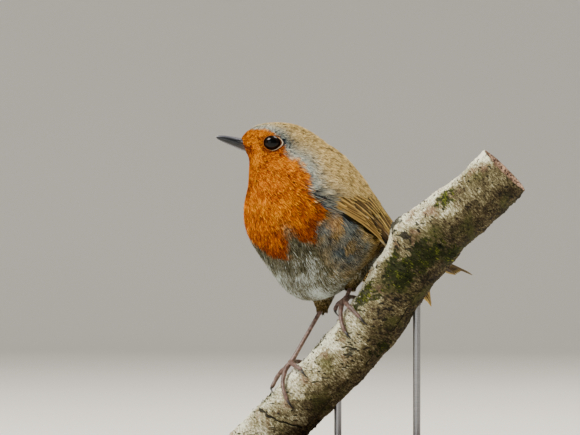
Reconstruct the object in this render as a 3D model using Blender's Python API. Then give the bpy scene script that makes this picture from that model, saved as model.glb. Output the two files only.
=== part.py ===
"""A life-size European robin perched on a cut length of branch, on a plain display stand.

The bird is one smooth form, lofted through named sections from the bill to the tail coverts and
parted into head, neck and trunk by thin cuts. Wings, tail, legs, feet, claws, bill and eyes are
their own solids. All lengths here are millimetres, and the mesh makers turn them into metres.
X runs along the base, Y runs away from the bird's front, and Z is up. The origin is the centre
of the base's underside.
"""

import math

import bmesh
import bpy
import numpy as np

MM = 0.001
GAP = 0.3

# The stand.
BASE_LENGTH = 124.0
BASE_WIDTH = 92.0
BASE_HEIGHT = 10.0
BASE_CORNER = 14.0
BASE_BEVEL = 1.6
ROD_RADIUS = 1.5
ROD_SOCKET = 8.0
ROD_LOWER_X = -12.0
ROD_UPPER_X = 19.5

# The perch: the middle line climbs to the right and leans towards the bird's front as it climbs.
PERCH_LINE = [(-46.5, 6.0), (-39.2, 14.0), (-3.7, 51.7), (13.2, 76.2), (26.0, 92.4),
              (33.2, 100.2), (44.8, 110.3), (54.6, 119.8)]
PERCH_LEAN = -0.19
PERCH_LEVEL_X = -25.0
PERCH_RADIUS = 11.7
PERCH_START = 10.9
PERCH_LENGTH = 146.0
PERCH_BELOW_CUT = 14.0
PERCH_CUT_Z = 12.4
CUT_BOX = 120.0
# Unevenness of the branch's radius: height, waves round it, waves along it, phase.
PERCH_WAVES = [
    (0.16, 3.0, 0.09, 0.0),
    (0.14, 5.0, -0.21, 0.0),
    (0.2, 2.0, 0.33, 0.0),
    (0.12, -1.0, 0.71, 0.0),
    (0.45, 0.0, 0.045, 3.6),
]
KNOT_PLACE = 98.0
KNOT_BELOW = 5.5
KNOT_ABOVE = 12.0
KNOT_SWELL = 4.4
KNOT_SIDE = 22.0
KNOT_BREADTH = 70.0
BREAK_DEPTH = 1.45
# Teeth of the broken end: height, waves round it, phase.
BREAK_WAVES = [
    (1.0, 2.0, -0.6),
    (0.5, 5.0, 1.0),
    (0.4, 9.0, 0.0),
]
# Stretch of the perch that the trunk could meet, and how far the trunk is cleared from it.
SLEEVE_SPAN = (30.0, 130.0)
SLEEVE_GAP = 0.4
PERCH_RINGS = 42
PERCH_SIDES = 24

# Body sections: place, turn and tilt of the backward line, half width, rise, drop, pear shape.
SECTIONS = {
    "bill_base": (-49.8, -9.6, 129.8, 0.0, -22.0, 2.4, 2.6, 2.9, 0.00),
    "forehead": (-47.4, -9.6, 129.6, 0.0, 0.0, 5.4, 6.7, 6.6, 0.00),
    "lores": (-45.1, -9.4, 128.6, 1.0, 14.0, 7.4, 10.1, 10.4, -0.05),
    "eye": (-41.6, -9.0, 126.2, 3.0, 26.0, 9.3, 14.3, 14.6, 0.02),
    "ear": (-38.0, -8.4, 123.8, 8.0, 37.0, 11.6, 17.4, 17.8, 0.16),
    "neck": (-34.4, -7.2, 119.4, 18.0, 45.0, 15.8, 20.4, 20.6, 0.26),
    "shoulder": (-30.6, -4.6, 113.3, 29.0, 48.0, 20.6, 23.2, 23.2, 0.20),
    "breast": (-26.2, -1.2, 106.2, 35.0, 49.0, 23.6, 24.2, 25.2, 0.12),
    "belly": (-20.8, 3.4, 98.6, 38.0, 48.0, 24.4, 24.2, 26.0, 0.06),
    "hip": (-15.2, 7.8, 92.6, 38.0, 43.0, 23.0, 20.0, 28.2, 0.02),
    "vent": (-10.0, 12.0, 90.6, 38.0, 34.0, 20.4, 14.0, 27.8, 0.00),
    "rump": (-4.2, 16.6, 91.2, 38.0, 24.0, 14.2, 8.4, 18.6, 0.00),
    "tail_root": (3.4, 22.5, 91.8, 38.0, 19.0, 7.6, 4.4, 8.0, 0.00),
    "coverts": (13.0, 30.0, 89.0, 38.0, 19.0, 4.6, 2.2, 2.6, 0.00),
}
STATION = {name: float(index) for index, name in enumerate(SECTIONS)}
BODY_SIDES = 28
HEAD_END = STATION["ear"] - 0.1
NECK_END = STATION["shoulder"] - 0.25

# The bird's own plane of symmetry, behind the neck.
BODY_YAW = 38.0
TRUNK_CENTRE = (-22.8, 2.0)

# Bill: the line where the mandibles meet runs from the base to the tip.
BILL_BASE = (-49.9, -9.6, 129.7)
BILL_TIP = (-60.8, -9.75, 133.2)
BILL_HALF_WIDTH = 2.5
UPPER_HEIGHT = 2.6
LOWER_HEIGHT = 2.0
LOWER_REACH = 0.965
UPPER_TAPER = 0.38
LOWER_TAPER = 0.54
BILL_TIP_RADIUS = 0.22
BILL_DROOP = 0.25
BILL_SHARES = (-0.22, 0.03, 0.2, 0.4, 0.6, 0.8, 0.93, 1.0)

# Eyes.
EYE_RADIUS = 3.7
EYE_PLACE = (-38.8, 130.8)
EYE_OUT = 5.9

# Wings: each is a curved sheet on the body's side that runs on as a free blade to the tip.
WING_THICKNESS = 1.5
WING_TIP = (27.4, 25.5, 65.8)
WING_BOW = 2.2
# Station along the body, angles of the lower and upper edge from the back, and how far the wing's
# outer face stands off the body along each edge.
WING_ROWS = [
    (4.9, 96.0, 62.0, 2.0, 2.0),
    (5.6, 101.0, 42.0, 2.0, 2.0),
    (6.6, 100.0, 27.0, 2.0, 2.0),
    (7.6, 92.0, 16.0, 2.0, 2.5),
    (8.7, 78.0, 8.0, 2.0, 3.6),
]
BLADE_ROWS = [  # share of the way to the tip, blade width, how far it bows outwards
    (0.28, 14.5, 1.6),
    (0.52, 11.0, 1.3),
    (0.76, 7.6, 0.9),
    (0.93, 5.2, 0.4),
    (1.0, 2.4, 0.0),
]

# Tail.
TAIL_LENGTH = 35.5
TAIL_PITCH = 19.0
TAIL_HALF_WIDTHS = [(0.0, 4.0), (0.35, 5.2), (0.75, 6.5), (0.95, 6.8), (1.0, 6.5)]
TAIL_THICKNESS = 1.6
TAIL_ARCH = 0.9
TAIL_NOTCH = 0.02

# Legs. Each foot stands at a distance along the perch, where its toes spread.
FEET = {
    "right": {
        "along": 27.4,
        "ankle": (-18.2, 6.5, 64.6),
        "hip": (-17.8, 11.0, 79.0),
        "toes": {
            "inner": [(27.8, 10.0, 1.1), (28.6, 28.0, 0.9), (29.6, 44.0, 0.2)],
            "middle": [(24.5, 10.0, 1.3), (20.6, 34.0, 1.0), (18.2, 54.0, 0.6), (16.9, 70.0, 0.3)],
            "outer": [(23.8, 1.0, 1.4), (20.4, -1.0, 1.3), (17.2, 2.0, 0.9), (14.6, 10.0, 0.5)],
            "hind": [(28.6, -22.0, 0.8), (29.4, -44.0, 0.4), (29.8, -62.0, 0.1)],
        },
    },
    "left": {
        "along": 63.6,
        "ankle": (-6.8, -1.4, 73.6),
        "hip": (-5.6, 2.4, 84.0),
        "toes": {
            "inner": [(60.4, -2.0, 2.6), (58.0, 0.0, 2.8), (56.2, 6.0, 2.0)],
            "middle": [(60.8, 14.0, 1.6), (57.4, 30.0, 1.2), (54.4, 50.0, 0.6), (53.4, 62.0, 0.2)],
            "outer": [(62.6, 22.0, 1.2), (62.4, 38.0, 0.8), (62.2, 52.0, 0.4), (61.8, 66.0, 0.2)],
            "hind": [(64.8, -20.0, 0.8), (65.4, -42.0, 0.3), (65.8, -60.0, 0.1)],
        },
    },
}
TARSUS_RADIUS = 0.85
ANKLE_SWELL = 0.3
PAD_RADIUS = 1.35
HEEL_CLEARANCE = 1.3
ANKLE_CLEARANCE = 1.1
TOE_RADIUS = 0.78
TOE_SPLIT = 3.2
CLAW_RADIUS = 0.6
CLAW_SWEEP = 20.0
CLAW_BOW = 1.05
THIGH_RADII = [6.8, 6.2, 4.6, 2.3]


def spline(rows, places):
    """Natural cubic curve through rows of numbers, one unit apart, read at the given places."""
    rows = np.asarray(rows, dtype=float)
    places = np.clip(np.atleast_1d(np.asarray(places, dtype=float)), 0.0, len(rows) - 1.0)
    count = len(rows)
    system = np.eye(count)
    right = np.zeros_like(rows)
    for row in range(1, count - 1):
        system[row, row - 1:row + 2] = (1.0, 4.0, 1.0)
        right[row] = 6.0 * (rows[row - 1] - 2.0 * rows[row] + rows[row + 1])
    bend = np.linalg.solve(system, right)
    low = np.minimum(places.astype(int), count - 2)
    t = (places - low)[:, None]
    s = 1.0 - t
    straight = s * rows[low] + t * rows[low + 1]
    return straight + ((s**3 - s) * bend[low] + (t**3 - t) * bend[low + 1]) / 6.0


def unit(vectors):
    """Vectors scaled to length one."""
    vectors = np.asarray(vectors, dtype=float)
    return vectors / np.linalg.norm(vectors, axis=-1, keepdims=True)


def heading(yaw, pitch):
    """Backward, upward and leftward directions of a section turned by yaw and tilted by pitch."""
    yaw = np.radians(yaw)
    pitch = np.radians(pitch)
    level = np.stack([np.cos(yaw), np.sin(yaw), np.zeros_like(yaw)], axis=-1)
    up = np.array([0.0, 0.0, 1.0])
    cosine = np.cos(pitch)[..., None]
    sine = np.sin(pitch)[..., None]
    back = cosine * level - sine * up
    rise = sine * level + cosine * up
    left = np.stack([np.sin(yaw), -np.cos(yaw), np.zeros_like(yaw)], axis=-1)
    return back, rise, left


def body_points(stations, degrees, swell=0.0):
    """Points of the body's surface at pairs of station and angle from the back towards the left."""
    stations, degrees = np.broadcast_arrays(np.asarray(stations, float), np.asarray(degrees, float))
    values = spline(list(SECTIONS.values()), stations.ravel())
    angle = np.radians(degrees.ravel())
    _, rise, left = heading(values[:, 3], values[:, 4])
    upward = np.cos(angle)
    half = (values[:, 5] + swell) * (1.0 - values[:, 8] * upward)
    tall = np.where(upward > 0.0, values[:, 6], values[:, 7]) + swell
    points = values[:, :3] + (upward * tall)[:, None] * rise + (np.sin(angle) * half)[:, None] * left
    return points.reshape(stations.shape + (3,))


def material(name, colour, roughness, metallic=0.0):
    """A plain finish."""
    made = bpy.data.materials.new(name)
    made.use_nodes = True
    shader = made.node_tree.nodes["Principled BSDF"]
    shader.inputs["Base Color"].default_value = (*colour, 1.0)
    shader.inputs["Roughness"].default_value = roughness
    shader.inputs["Metallic"].default_value = metallic
    made.diffuse_color = (*colour, 1.0)
    return made


def solid(name, points, faces, finish, smooth=True, guide=False):
    """A closed mesh object from points in millimetres, with its faces turned outwards."""
    mesh = bpy.data.meshes.new(name)
    mesh.from_pydata((np.asarray(points) * MM).tolist(), [], faces)
    shape = bmesh.new()
    shape.from_mesh(mesh)
    bmesh.ops.triangulate(shape, faces=[face for face in shape.faces if len(face.verts) > 4])
    bmesh.ops.recalc_face_normals(shape, faces=shape.faces)
    if shape.calc_volume(signed=True) < 0.0:
        bmesh.ops.reverse_faces(shape, faces=shape.faces)
    shape.to_mesh(mesh)
    shape.free()
    if smooth:
        mesh.shade_smooth()
        mesh.set_sharp_from_angle(angle=math.radians(50.0))
    made = bpy.data.objects.new(name, mesh)
    bpy.context.scene.collection.objects.link(made)
    if guide:
        made.hide_render = True
        made.display_type = "WIRE"
    else:
        mesh.materials.append(finish)
    return made


def loft(name, rings, finish, **options):
    """A closed solid through rings of equal point counts, with its two ends filled."""
    rings = np.asarray(rings)
    count, sides = rings.shape[:2]
    faces = []
    for ring in range(count - 1):
        for side in range(sides):
            following = (side + 1) % sides
            faces.append((ring * sides + side, ring * sides + following,
                          (ring + 1) * sides + following, (ring + 1) * sides + side))
    faces.append(tuple(range(sides)))
    faces.append(tuple(range((count - 1) * sides, count * sides)))
    return solid(name, rings.reshape(-1, 3), faces, finish, **options)


def path_frames(path):
    """Direction and two cross directions at each point of a path, without twist."""
    path = np.asarray(path, dtype=float)
    along = unit(np.gradient(path, axis=0))
    first = np.zeros_like(along)
    hint = np.array([0.0, 0.0, 1.0]) if abs(along[0, 2]) < 0.9 else np.array([1.0, 0.0, 0.0])
    for index, direction in enumerate(along):
        hint = hint - direction * np.dot(hint, direction)
        hint = hint / np.linalg.norm(hint)
        first[index] = hint
    return along, first, np.cross(along, first)


def tube_rings(path, radii, sides):
    """Circles of the given radii round a path."""
    _, first, second = path_frames(path)
    angle = np.linspace(0.0, 2.0 * np.pi, sides, endpoint=False)
    radii = np.asarray(radii, dtype=float)[:, None, None]
    circle = np.cos(angle)[None, :, None] * first[:, None] + np.sin(angle)[None, :, None] * second[:, None]
    return np.asarray(path)[:, None] + radii * circle


def tube(name, path, radii, finish, sides=10, **options):
    """A closed round tube along a path."""
    return loft(name, tube_rings(path, radii, sides), finish, **options)


def ball(name, centre, radii, finish, rings=8, sides=12, **options):
    """A closed ellipsoid."""
    polar = np.linspace(0.06, np.pi - 0.06, rings)
    round_angle = np.linspace(0.0, 2.0 * np.pi, sides, endpoint=False)
    x = np.sin(polar)[:, None] * np.cos(round_angle)[None]
    y = np.sin(polar)[:, None] * np.sin(round_angle)[None]
    z = np.repeat(np.cos(polar)[:, None], sides, axis=1)
    points = np.stack([x, y, z], axis=-1) * np.asarray(radii) + np.asarray(centre)
    return loft(name, points, finish, **options)


def combine(target, other, operation):
    """Joins or cuts one object by another, which stays as a hidden guide."""
    step = target.modifiers.new(f"{operation.lower()}_{other.name}", "BOOLEAN")
    step.operation = operation
    step.solver = "EXACT"
    step.object = other
    other.hide_render = True
    other.display_type = "WIRE"


def sheet(name, outer, inward, thickness, finish, **options):
    """A closed curved sheet: outer is a grid of points, inward the direction of its inner face."""
    rows, columns = outer.shape[:2]
    share = np.linspace(-1.0, 1.0, columns)
    depth = thickness * (1.0 - 0.72 * np.abs(share) ** 3)[None, :, None]
    inner = outer + inward * depth
    rings = np.concatenate([outer, inner[:, ::-1]], axis=1)
    return loft(name, rings, finish, **options)


def perch_frame(distance):
    """Centre, direction, upper-left side and front side of the perch at distances along it."""
    line = np.asarray(PERCH_LINE)
    steps = np.linspace(0.0, len(line) - 1.0, 400)
    flat = spline(line, steps)
    lean = PERCH_LEAN * (flat[:, 0] - PERCH_LEVEL_X)
    fine = np.stack([flat[:, 0], lean, flat[:, 1]], axis=1)
    run = np.concatenate([[0.0], np.cumsum(np.linalg.norm(np.diff(fine, axis=0), axis=1))])
    distance = np.atleast_1d(np.asarray(distance, dtype=float)) + PERCH_START
    centre = np.stack([np.interp(distance, run, fine[:, k]) for k in range(3)], axis=1)
    along = unit(np.stack([np.interp(distance, run, np.gradient(fine[:, k], run)) for k in range(3)],
                          axis=1))
    front = np.array([0.0, -1.0, 0.0])
    front = unit(front - along * (along @ front)[:, None])
    side = np.cross(front, along)
    return centre, along, unit(side), front


def perch_radius(distance, degrees):
    """The perch's radius: a gentle swell and waves, and a knot on its upper side."""
    angle = np.radians(degrees)
    waves = sum(height * np.sin(turns * angle + pitch * distance + phase)
                for height, turns, pitch, phase in PERCH_WAVES)
    off = (np.asarray(degrees) - KNOT_SIDE + 180.0) % 360.0 - 180.0
    reach = np.where(distance < KNOT_PLACE, KNOT_BELOW, KNOT_ABOVE)
    knot = KNOT_SWELL * np.exp(-((distance - KNOT_PLACE) / reach) ** 2 - (off / KNOT_BREADTH) ** 2)
    return PERCH_RADIUS + waves + knot


def perch_surface(distance, degrees, lift=0.0):
    """A point above the perch's surface. Zero degrees is its upper left, 90 its front."""
    centre, _, side, front = perch_frame(distance)
    radius = (perch_radius(np.atleast_1d(distance), np.atleast_1d(degrees)) + lift)[:, None]
    angle = np.radians(np.atleast_1d(degrees))[:, None]
    return centre + radius * (np.cos(angle) * side + np.sin(angle) * front)


def make_perch(finish):
    """The branch: level cut below, ragged break above, and blind sockets for the rods."""
    distances = np.linspace(-PERCH_BELOW_CUT, PERCH_LENGTH, PERCH_RINGS)
    degrees = np.linspace(0.0, 360.0, PERCH_SIDES, endpoint=False)
    rings = np.stack([perch_surface(np.full(PERCH_SIDES, d), degrees) for d in distances])
    _, along, _, _ = perch_frame(PERCH_LENGTH)
    angle = np.radians(degrees)
    ragged = sum(height * np.sin(turns * angle + phase) for height, turns, phase in BREAK_WAVES)
    rings[-1] += (BREAK_DEPTH * ragged)[:, None] * along
    perch = loft("perch_branch", rings, finish)
    foot_x = PERCH_LINE[0][0]
    floor = box_guide("guide_level_cut", (foot_x, 0.0, PERCH_CUT_Z - CUT_BOX / 2.0), CUT_BOX)
    combine(perch, floor, "DIFFERENCE")
    for name, x in (("lower", ROD_LOWER_X), ("upper", ROD_UPPER_X)):
        foot, top = rod_ends(x)
        socket = tube(f"guide_socket_{name}", [foot, (foot + top) / 2.0, top + [0.0, 0.0, GAP]],
                      [ROD_RADIUS + GAP] * 3, None, sides=16, guide=True)
        combine(perch, socket, "DIFFERENCE")
    return perch


def box_guide(name, centre, size):
    """A cube used as a cutter."""
    corners = [(-1, -1), (1, -1), (1, 1), (-1, 1)]
    rings = [[(centre[0] + a * size / 2.0, centre[1] + b * size / 2.0, centre[2] + c * size / 2.0)
              for a, b in corners] for c in (-1, 1)]
    return loft(name, rings, None, guide=True, smooth=False)


def rod_ends(x):
    """Foot and top of the rod at x: the top stands in a socket in the perch's underside."""
    distances = np.linspace(0.0, PERCH_LENGTH, 600)
    centre, _, side, front = perch_frame(distances)
    nearest = int(np.argmin(np.abs(centre[:, 0] - x)))
    middle = centre[nearest]
    slope = abs(side[nearest, 2])
    top = middle[2] - PERCH_RADIUS / slope + ROD_SOCKET
    return np.array([x, middle[1], BASE_HEIGHT + GAP]), np.array([x, middle[1], top])


def make_stand(wood, metal):
    """The flat base with its bevelled edge, and the two rods."""
    mesh = bpy.data.meshes.new("stand_base")
    shape = bmesh.new()
    bmesh.ops.create_cube(shape, size=1.0)
    bmesh.ops.scale(shape, vec=(BASE_LENGTH * MM, BASE_WIDTH * MM, BASE_HEIGHT * MM), verts=shape.verts)
    bmesh.ops.translate(shape, vec=(0.0, 0.0, BASE_HEIGHT * MM / 2.0), verts=shape.verts)
    upright = [edge for edge in shape.edges if abs(edge.verts[0].co.z - edge.verts[1].co.z) > MM]
    bmesh.ops.bevel(shape, geom=upright, offset=BASE_CORNER * MM, segments=8, profile=0.5,
                    affect="EDGES")
    rim = [edge for edge in shape.edges
           if all(v.co.z > (BASE_HEIGHT - 0.01) * MM for v in edge.verts) and len(edge.link_faces) == 2
           and abs(edge.calc_face_angle(0.0)) > 1.0]
    bmesh.ops.bevel(shape, geom=rim, offset=BASE_BEVEL * MM, segments=3, profile=0.6, affect="EDGES")
    shape.to_mesh(mesh)
    shape.free()
    mesh.materials.append(wood)
    mesh.shade_smooth()
    mesh.set_sharp_from_angle(angle=math.radians(35.0))
    base = bpy.data.objects.new("stand_base", mesh)
    bpy.context.scene.collection.objects.link(base)
    for name, x in (("lower", ROD_LOWER_X), ("upper", ROD_UPPER_X)):
        foot, top = rod_ends(x)
        tube(f"stand_rod_{name}", [foot, (foot + top) / 2.0, top], [ROD_RADIUS] * 3, metal, sides=16)


def make_body(finish, cutters):
    """Head, neck and trunk: one loft parted by thin cuts, with pockets for what touches it."""
    degrees = np.linspace(0.0, 360.0, BODY_SIDES, endpoint=False)
    gap = GAP / 5.0
    last = STATION["coverts"]
    spans = {"head": (0.0, HEAD_END, 9), "neck": (HEAD_END + gap, NECK_END, 5),
             "trunk": (NECK_END + gap, last, 19)}
    parts = {}
    for name, (start, end, count) in spans.items():
        stations = np.linspace(start, end, count)
        rings = body_points(stations[:, None], degrees[None])
        parts[name] = loft(name, rings, finish)
        for cutter in cutters.get(name, []):
            combine(parts[name], cutter, "DIFFERENCE")
    return parts


def wing_rows(sign, swell=0.0):
    """Outer grid and inward directions of one wing; sign is 1 for the left and -1 for the right."""
    columns = np.linspace(0.0, 1.0, 6)
    outer = []
    for station, low, high, low_lift, high_lift in WING_ROWS:
        degrees = sign * (low + (high - low) * columns)
        outer.append(body_points(station, degrees, low_lift + (high_lift - low_lift) * columns))
    outer = np.array(outer)
    centre = spline(list(SECTIONS.values()), [row[0] for row in WING_ROWS])[:, None, :3]
    inward = unit(centre - outer)
    tip = mirror_tip(sign)
    last = outer[-1]
    middle = last.mean(axis=0)
    across = unit(last[-1] - last[0])
    facing = unit(-inward[-1].mean(axis=0))
    for share, width, bow in BLADE_ROWS:
        spot = middle + share * (tip - middle) + WING_BOW * math.sin(math.pi * share) * facing
        spread = (columns - 0.5)[:, None] * width * across
        arch = bow * (1.0 - (2.0 * columns - 1.0) ** 2)[:, None] * facing
        outer = np.concatenate([outer, (spot + spread + arch)[None]])
        inward = np.concatenate([inward, np.repeat(-facing[None, None], len(columns), axis=1)])
    fine = np.linspace(0.0, len(outer) - 1.0, 16)
    smooth = [spline(outer[:, c], fine) for c in range(len(columns))]
    turned = [unit(spline(inward[:, c], fine)) for c in range(len(columns))]
    return np.stack(smooth, axis=1) - swell * np.stack(turned, axis=1), np.stack(turned, axis=1)


def mirror_tip(sign):
    """The wing tip, mirrored in the bird's plane of symmetry for the right wing."""
    tip = np.array(WING_TIP)
    if sign > 0:
        return tip
    yaw = math.radians(BODY_YAW)
    left = np.array([math.sin(yaw), -math.cos(yaw), 0.0])
    off = tip - np.array([*TRUNK_CENTRE, 0.0])
    return tip - 2.0 * np.dot(off, left) * left


def make_wing(name, sign, finish):
    """One folded wing and the cutter that clears its place in the trunk."""
    outer, inward = wing_rows(sign)
    wing = sheet(name, outer, inward, WING_THICKNESS, finish)
    wide, turned = wing_rows(sign, swell=GAP)
    edge = unit(wide[:, -1] - wide[:, 0]) * GAP * 1.5
    share = np.linspace(-1.0, 1.0, wide.shape[1])[None, :, None]
    wide = wide + share * edge[:, None]
    ends = unit(wide[-1].mean(axis=0) - wide[-2].mean(axis=0)) * GAP
    wide[0] -= ends * 1.5
    wide[-1] += ends
    cutter = sheet(f"guide_{name}", wide, turned, WING_THICKNESS + 2.0 * GAP, None, guide=True)
    return wing, cutter


def make_tail(name, finish):
    """The closed tail: a flat, slightly arched blade with a shallow notch at its end."""
    back, rise, left = (v[0] for v in heading(np.array([BODY_YAW]), np.array([TAIL_PITCH])))
    root = spline(list(SECTIONS.values()), STATION["coverts"])[0, :3] + back * (GAP + 0.1)
    shares, widths = zip(*TAIL_HALF_WIDTHS)
    along = np.linspace(0.0, 1.0, 9)
    half = np.interp(along, shares, widths)
    columns = np.linspace(-1.0, 1.0, 7)
    notch = 1.0 - TAIL_NOTCH * (1.0 - np.abs(columns))
    length = TAIL_LENGTH * along
    reach = np.where(along[:, None] > 0.99, length[:, None] * notch[None], length[:, None])
    arch = TAIL_ARCH * (1.0 - columns**2) + TAIL_THICKNESS / 2.0
    points = (root + reach[..., None] * back + (half[:, None] * columns)[..., None] * left
              + arch[None, :, None] * rise)
    inward = np.broadcast_to(-rise, points.shape)
    return sheet(name, points, inward, TAIL_THICKNESS, finish)


def bill_rings(height, sign, reach, swell=0.0):
    """Half-round sections of one mandible, which narrow from inside the head to the tip."""
    base = np.array(BILL_BASE)
    tip = np.array(BILL_TIP)
    forward = unit(tip - base)
    side = np.array([0.0, 1.0, 0.0])
    side = unit(side - forward * np.dot(side, forward))
    up = np.cross(forward, side)
    up = up if up[2] > 0.0 else -up
    angle = np.linspace(0.0, np.pi, 9)
    rings = []
    for share in BILL_SHARES:
        slim = 1.0 - max(share, 0.0)
        width = BILL_HALF_WIDTH * slim**0.85 + BILL_TIP_RADIUS + swell
        tall = height * slim ** (UPPER_TAPER if sign > 0.0 else LOWER_TAPER) + BILL_TIP_RADIUS + swell
        centre = base + (share * reach - swell * 0.05) * (tip - base) - BILL_DROOP * share**3 * up
        centre = centre + sign * (0.5 * GAP - swell) * up
        rings.append(centre + np.cos(angle)[:, None] * width * side
                     + sign * (np.sin(angle) ** 0.85)[:, None] * (tall + swell) * up)
    return rings


def make_bill(finish):
    """Upper and lower mandible, and the cutters that seat them in the head."""
    seats = []
    for name, height, sign, reach in (("bill_upper", UPPER_HEIGHT, 1.0, 1.0),
                                      ("bill_lower", LOWER_HEIGHT, -1.0, LOWER_REACH)):
        loft(name, bill_rings(height, sign, reach), finish)
        seats.append(loft(f"guide_{name}", bill_rings(height, sign, reach, GAP), None, guide=True))
    return seats


def make_eyes(finish):
    """Both eyes, and the sockets that clear them."""
    middle = np.array([EYE_PLACE[0], SECTIONS["eye"][1], EYE_PLACE[1]])
    sockets = []
    for name, sign in (("left", 1.0), ("right", -1.0)):
        _, _, left = heading(np.array([3.0]), np.array([0.0]))
        centre = middle + sign * EYE_OUT * left[0]
        ball(f"eye_{name}", centre, [EYE_RADIUS] * 3, finish, rings=9, sides=14)
        sockets.append(ball(f"guide_eye_{name}", centre, [EYE_RADIUS + GAP] * 3, None,
                            rings=9, sides=14, guide=True))
    return sockets


def toe_path(root, joints):
    """Smooth middle line of a toe over the perch, from the foot's root through its joints."""
    points = [root]
    for along, degrees, lift in joints:
        points.append(perch_surface(along, degrees, TOE_RADIUS + GAP + lift)[0])
    steps = np.linspace(0.0, len(points) - 1.0, 60)
    return spline(points, steps)


def part_path(line, start, end, count):
    """Evenly spaced points between two lengths along a line."""
    run = np.concatenate([[0.0], np.cumsum(np.linalg.norm(np.diff(line, axis=0), axis=1))])
    places = np.linspace(start, min(end, run[-1]), count)
    return np.stack([np.interp(places, run, line[:, k]) for k in range(3)], axis=1), places / run[-1]


def toe_radius(share, bones):
    """Toe radius, slimmer to the tip, with a pad under each bone."""
    return TOE_RADIUS * (1.1 - 0.28 * share) + 0.1 * np.abs(np.sin(np.pi * share * bones))


def make_leg(side, spec, scales, horn, feathers, body_guide):
    """Feathered thigh, bare tarsus, foot, four toes and four claws."""
    root = perch_surface(spec["along"], 0.0, 2.4)[0]
    ankle = np.array(spec["ankle"])
    hip = np.array(spec["hip"])
    thigh_path = spline([hip, (hip + ankle) / 2.0, ankle], np.linspace(0.0, 2.0, 6))
    radii = np.interp(np.linspace(0.0, 1.0, 6), np.linspace(0.0, 1.0, 4), THIGH_RADII)
    thigh = tube(f"thigh_{side}", thigh_path, radii, feathers, sides=14)
    combine(thigh, body_guide, "DIFFERENCE")
    shank = unit(root - ankle)
    start = ankle + shank * ANKLE_CLEARANCE
    end = root - shank * (PAD_RADIUS + HEEL_CLEARANCE)
    share = np.linspace(0.0, 1.0, 6)
    path = start + share[:, None] * (end - start)
    tube(f"tarsus_{side}", path, TARSUS_RADIUS + ANKLE_SWELL * (2.0 * share - 1.0) ** 6, scales, sides=9)
    foot = ball(f"foot_{side}", root, [PAD_RADIUS] * 3, scales, rings=6, sides=9)
    for toe, joints in spec["toes"].items():
        line = toe_path(root, joints)
        near, near_share = part_path(line, 0.0, TOE_SPLIT, 3)
        stub = tube(f"guide_{side}_{toe}", near, toe_radius(near_share, len(joints)), scales, sides=6)
        combine(foot, stub, "UNION")
        far, far_share = part_path(line, TOE_SPLIT + GAP, 99.0, 7)
        tube(f"toe_{side}_{toe}", far, toe_radius(far_share, len(joints)), scales, sides=6)
        make_claw(f"claw_{side}_{toe}", line, joints, horn)


def make_claw(name, line, joints, horn):
    """A curved claw that carries a toe's line on and down to the perch."""
    forward = unit(line[-1] - line[-2])
    along, degrees, _ = joints[-1]
    turn = 1.0 if degrees > 0.0 else -1.0
    touch = perch_surface(along - 0.5, degrees + turn * CLAW_SWEEP, GAP + 0.12)[0]
    start = line[-1] + forward * (GAP + 0.02)
    outward = unit(perch_surface(along, degrees + turn * 8.0, 5.0)[0]
                   - perch_surface(along, degrees + turn * 8.0, 0.0)[0])
    middle = (start + touch) / 2.0 + outward * CLAW_BOW
    path = spline([start, middle, touch], np.linspace(0.0, 2.0, 6))
    share = np.linspace(0.0, 1.0, 6)
    tube(name, path, CLAW_RADIUS * (1.0 - 0.86 * share**1.3), horn, sides=6)


def main():
    """Clears the scene and builds every node."""
    for old in list(bpy.data.objects):
        bpy.data.objects.remove(old, do_unlink=True)
    coat = material("olive_brown_feathers", (0.30, 0.22, 0.13), 0.75)
    breast = material("orange_feathers", (0.66, 0.22, 0.02), 0.75)
    quills = material("wing_feathers", (0.16, 0.10, 0.05), 0.6)
    slate = material("bill_horn", (0.06, 0.06, 0.065), 0.35)
    eye = material("eye_black", (0.006, 0.005, 0.005), 0.05)
    scales = material("leg_scales", (0.22, 0.13, 0.11), 0.45)
    horn = material("claw_horn", (0.03, 0.028, 0.026), 0.35)
    bark = material("birch_bark", (0.45, 0.42, 0.34), 0.85)
    wood = material("walnut", (0.10, 0.05, 0.025), 0.45)
    metal = material("steel", (0.5, 0.5, 0.5), 0.3, 1.0)

    wings = [make_wing("wing_left", 1.0, quills), make_wing("wing_right", -1.0, quills)]
    make_tail("tail", quills)
    make_perch(bark)
    make_stand(wood, metal)
    seats = make_bill(slate)
    sockets = make_eyes(eye)
    degrees = np.linspace(0.0, 360.0, PERCH_SIDES, endpoint=False)
    spans = np.linspace(*SLEEVE_SPAN, 26)
    sleeve = loft("guide_perch", [perch_surface(np.full(PERCH_SIDES, d), degrees, SLEEVE_GAP)
                                  for d in spans], None, guide=True)
    parts = make_body(coat, {"head": sockets + seats, "trunk": [wings[0][1], wings[1][1], sleeve],
                             "neck": [wings[0][1], wings[1][1]]})
    parts["head"].data.materials[0] = breast
    stations = np.linspace(NECK_END, STATION["coverts"], 19)
    round_degrees = np.linspace(0.0, 360.0, BODY_SIDES, endpoint=False)
    body_guide = loft("guide_body", body_points(stations[:, None], round_degrees[None], GAP), None,
                      guide=True)
    for side, spec in FEET.items():
        make_leg(side, spec, scales, horn, coat, body_guide)


main()
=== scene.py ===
"""Looks of a life-size European robin on a cut length of branch, with a plain display stand.

The bird wears one skin under a coat of solid feathers. Each form (body, thigh, wing, tail, perch)
is a surface of two numbers, and everything that grows on it is placed by those two numbers.
Lengths are millimetres until a mesh is made. X runs along the base, Y away from the bird's
front, and Z up. Angles round the body are degrees from the back towards the bird's left.
"""

import logging
import math
from dataclasses import dataclass, field
from enum import Enum
from typing import Sequence

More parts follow.
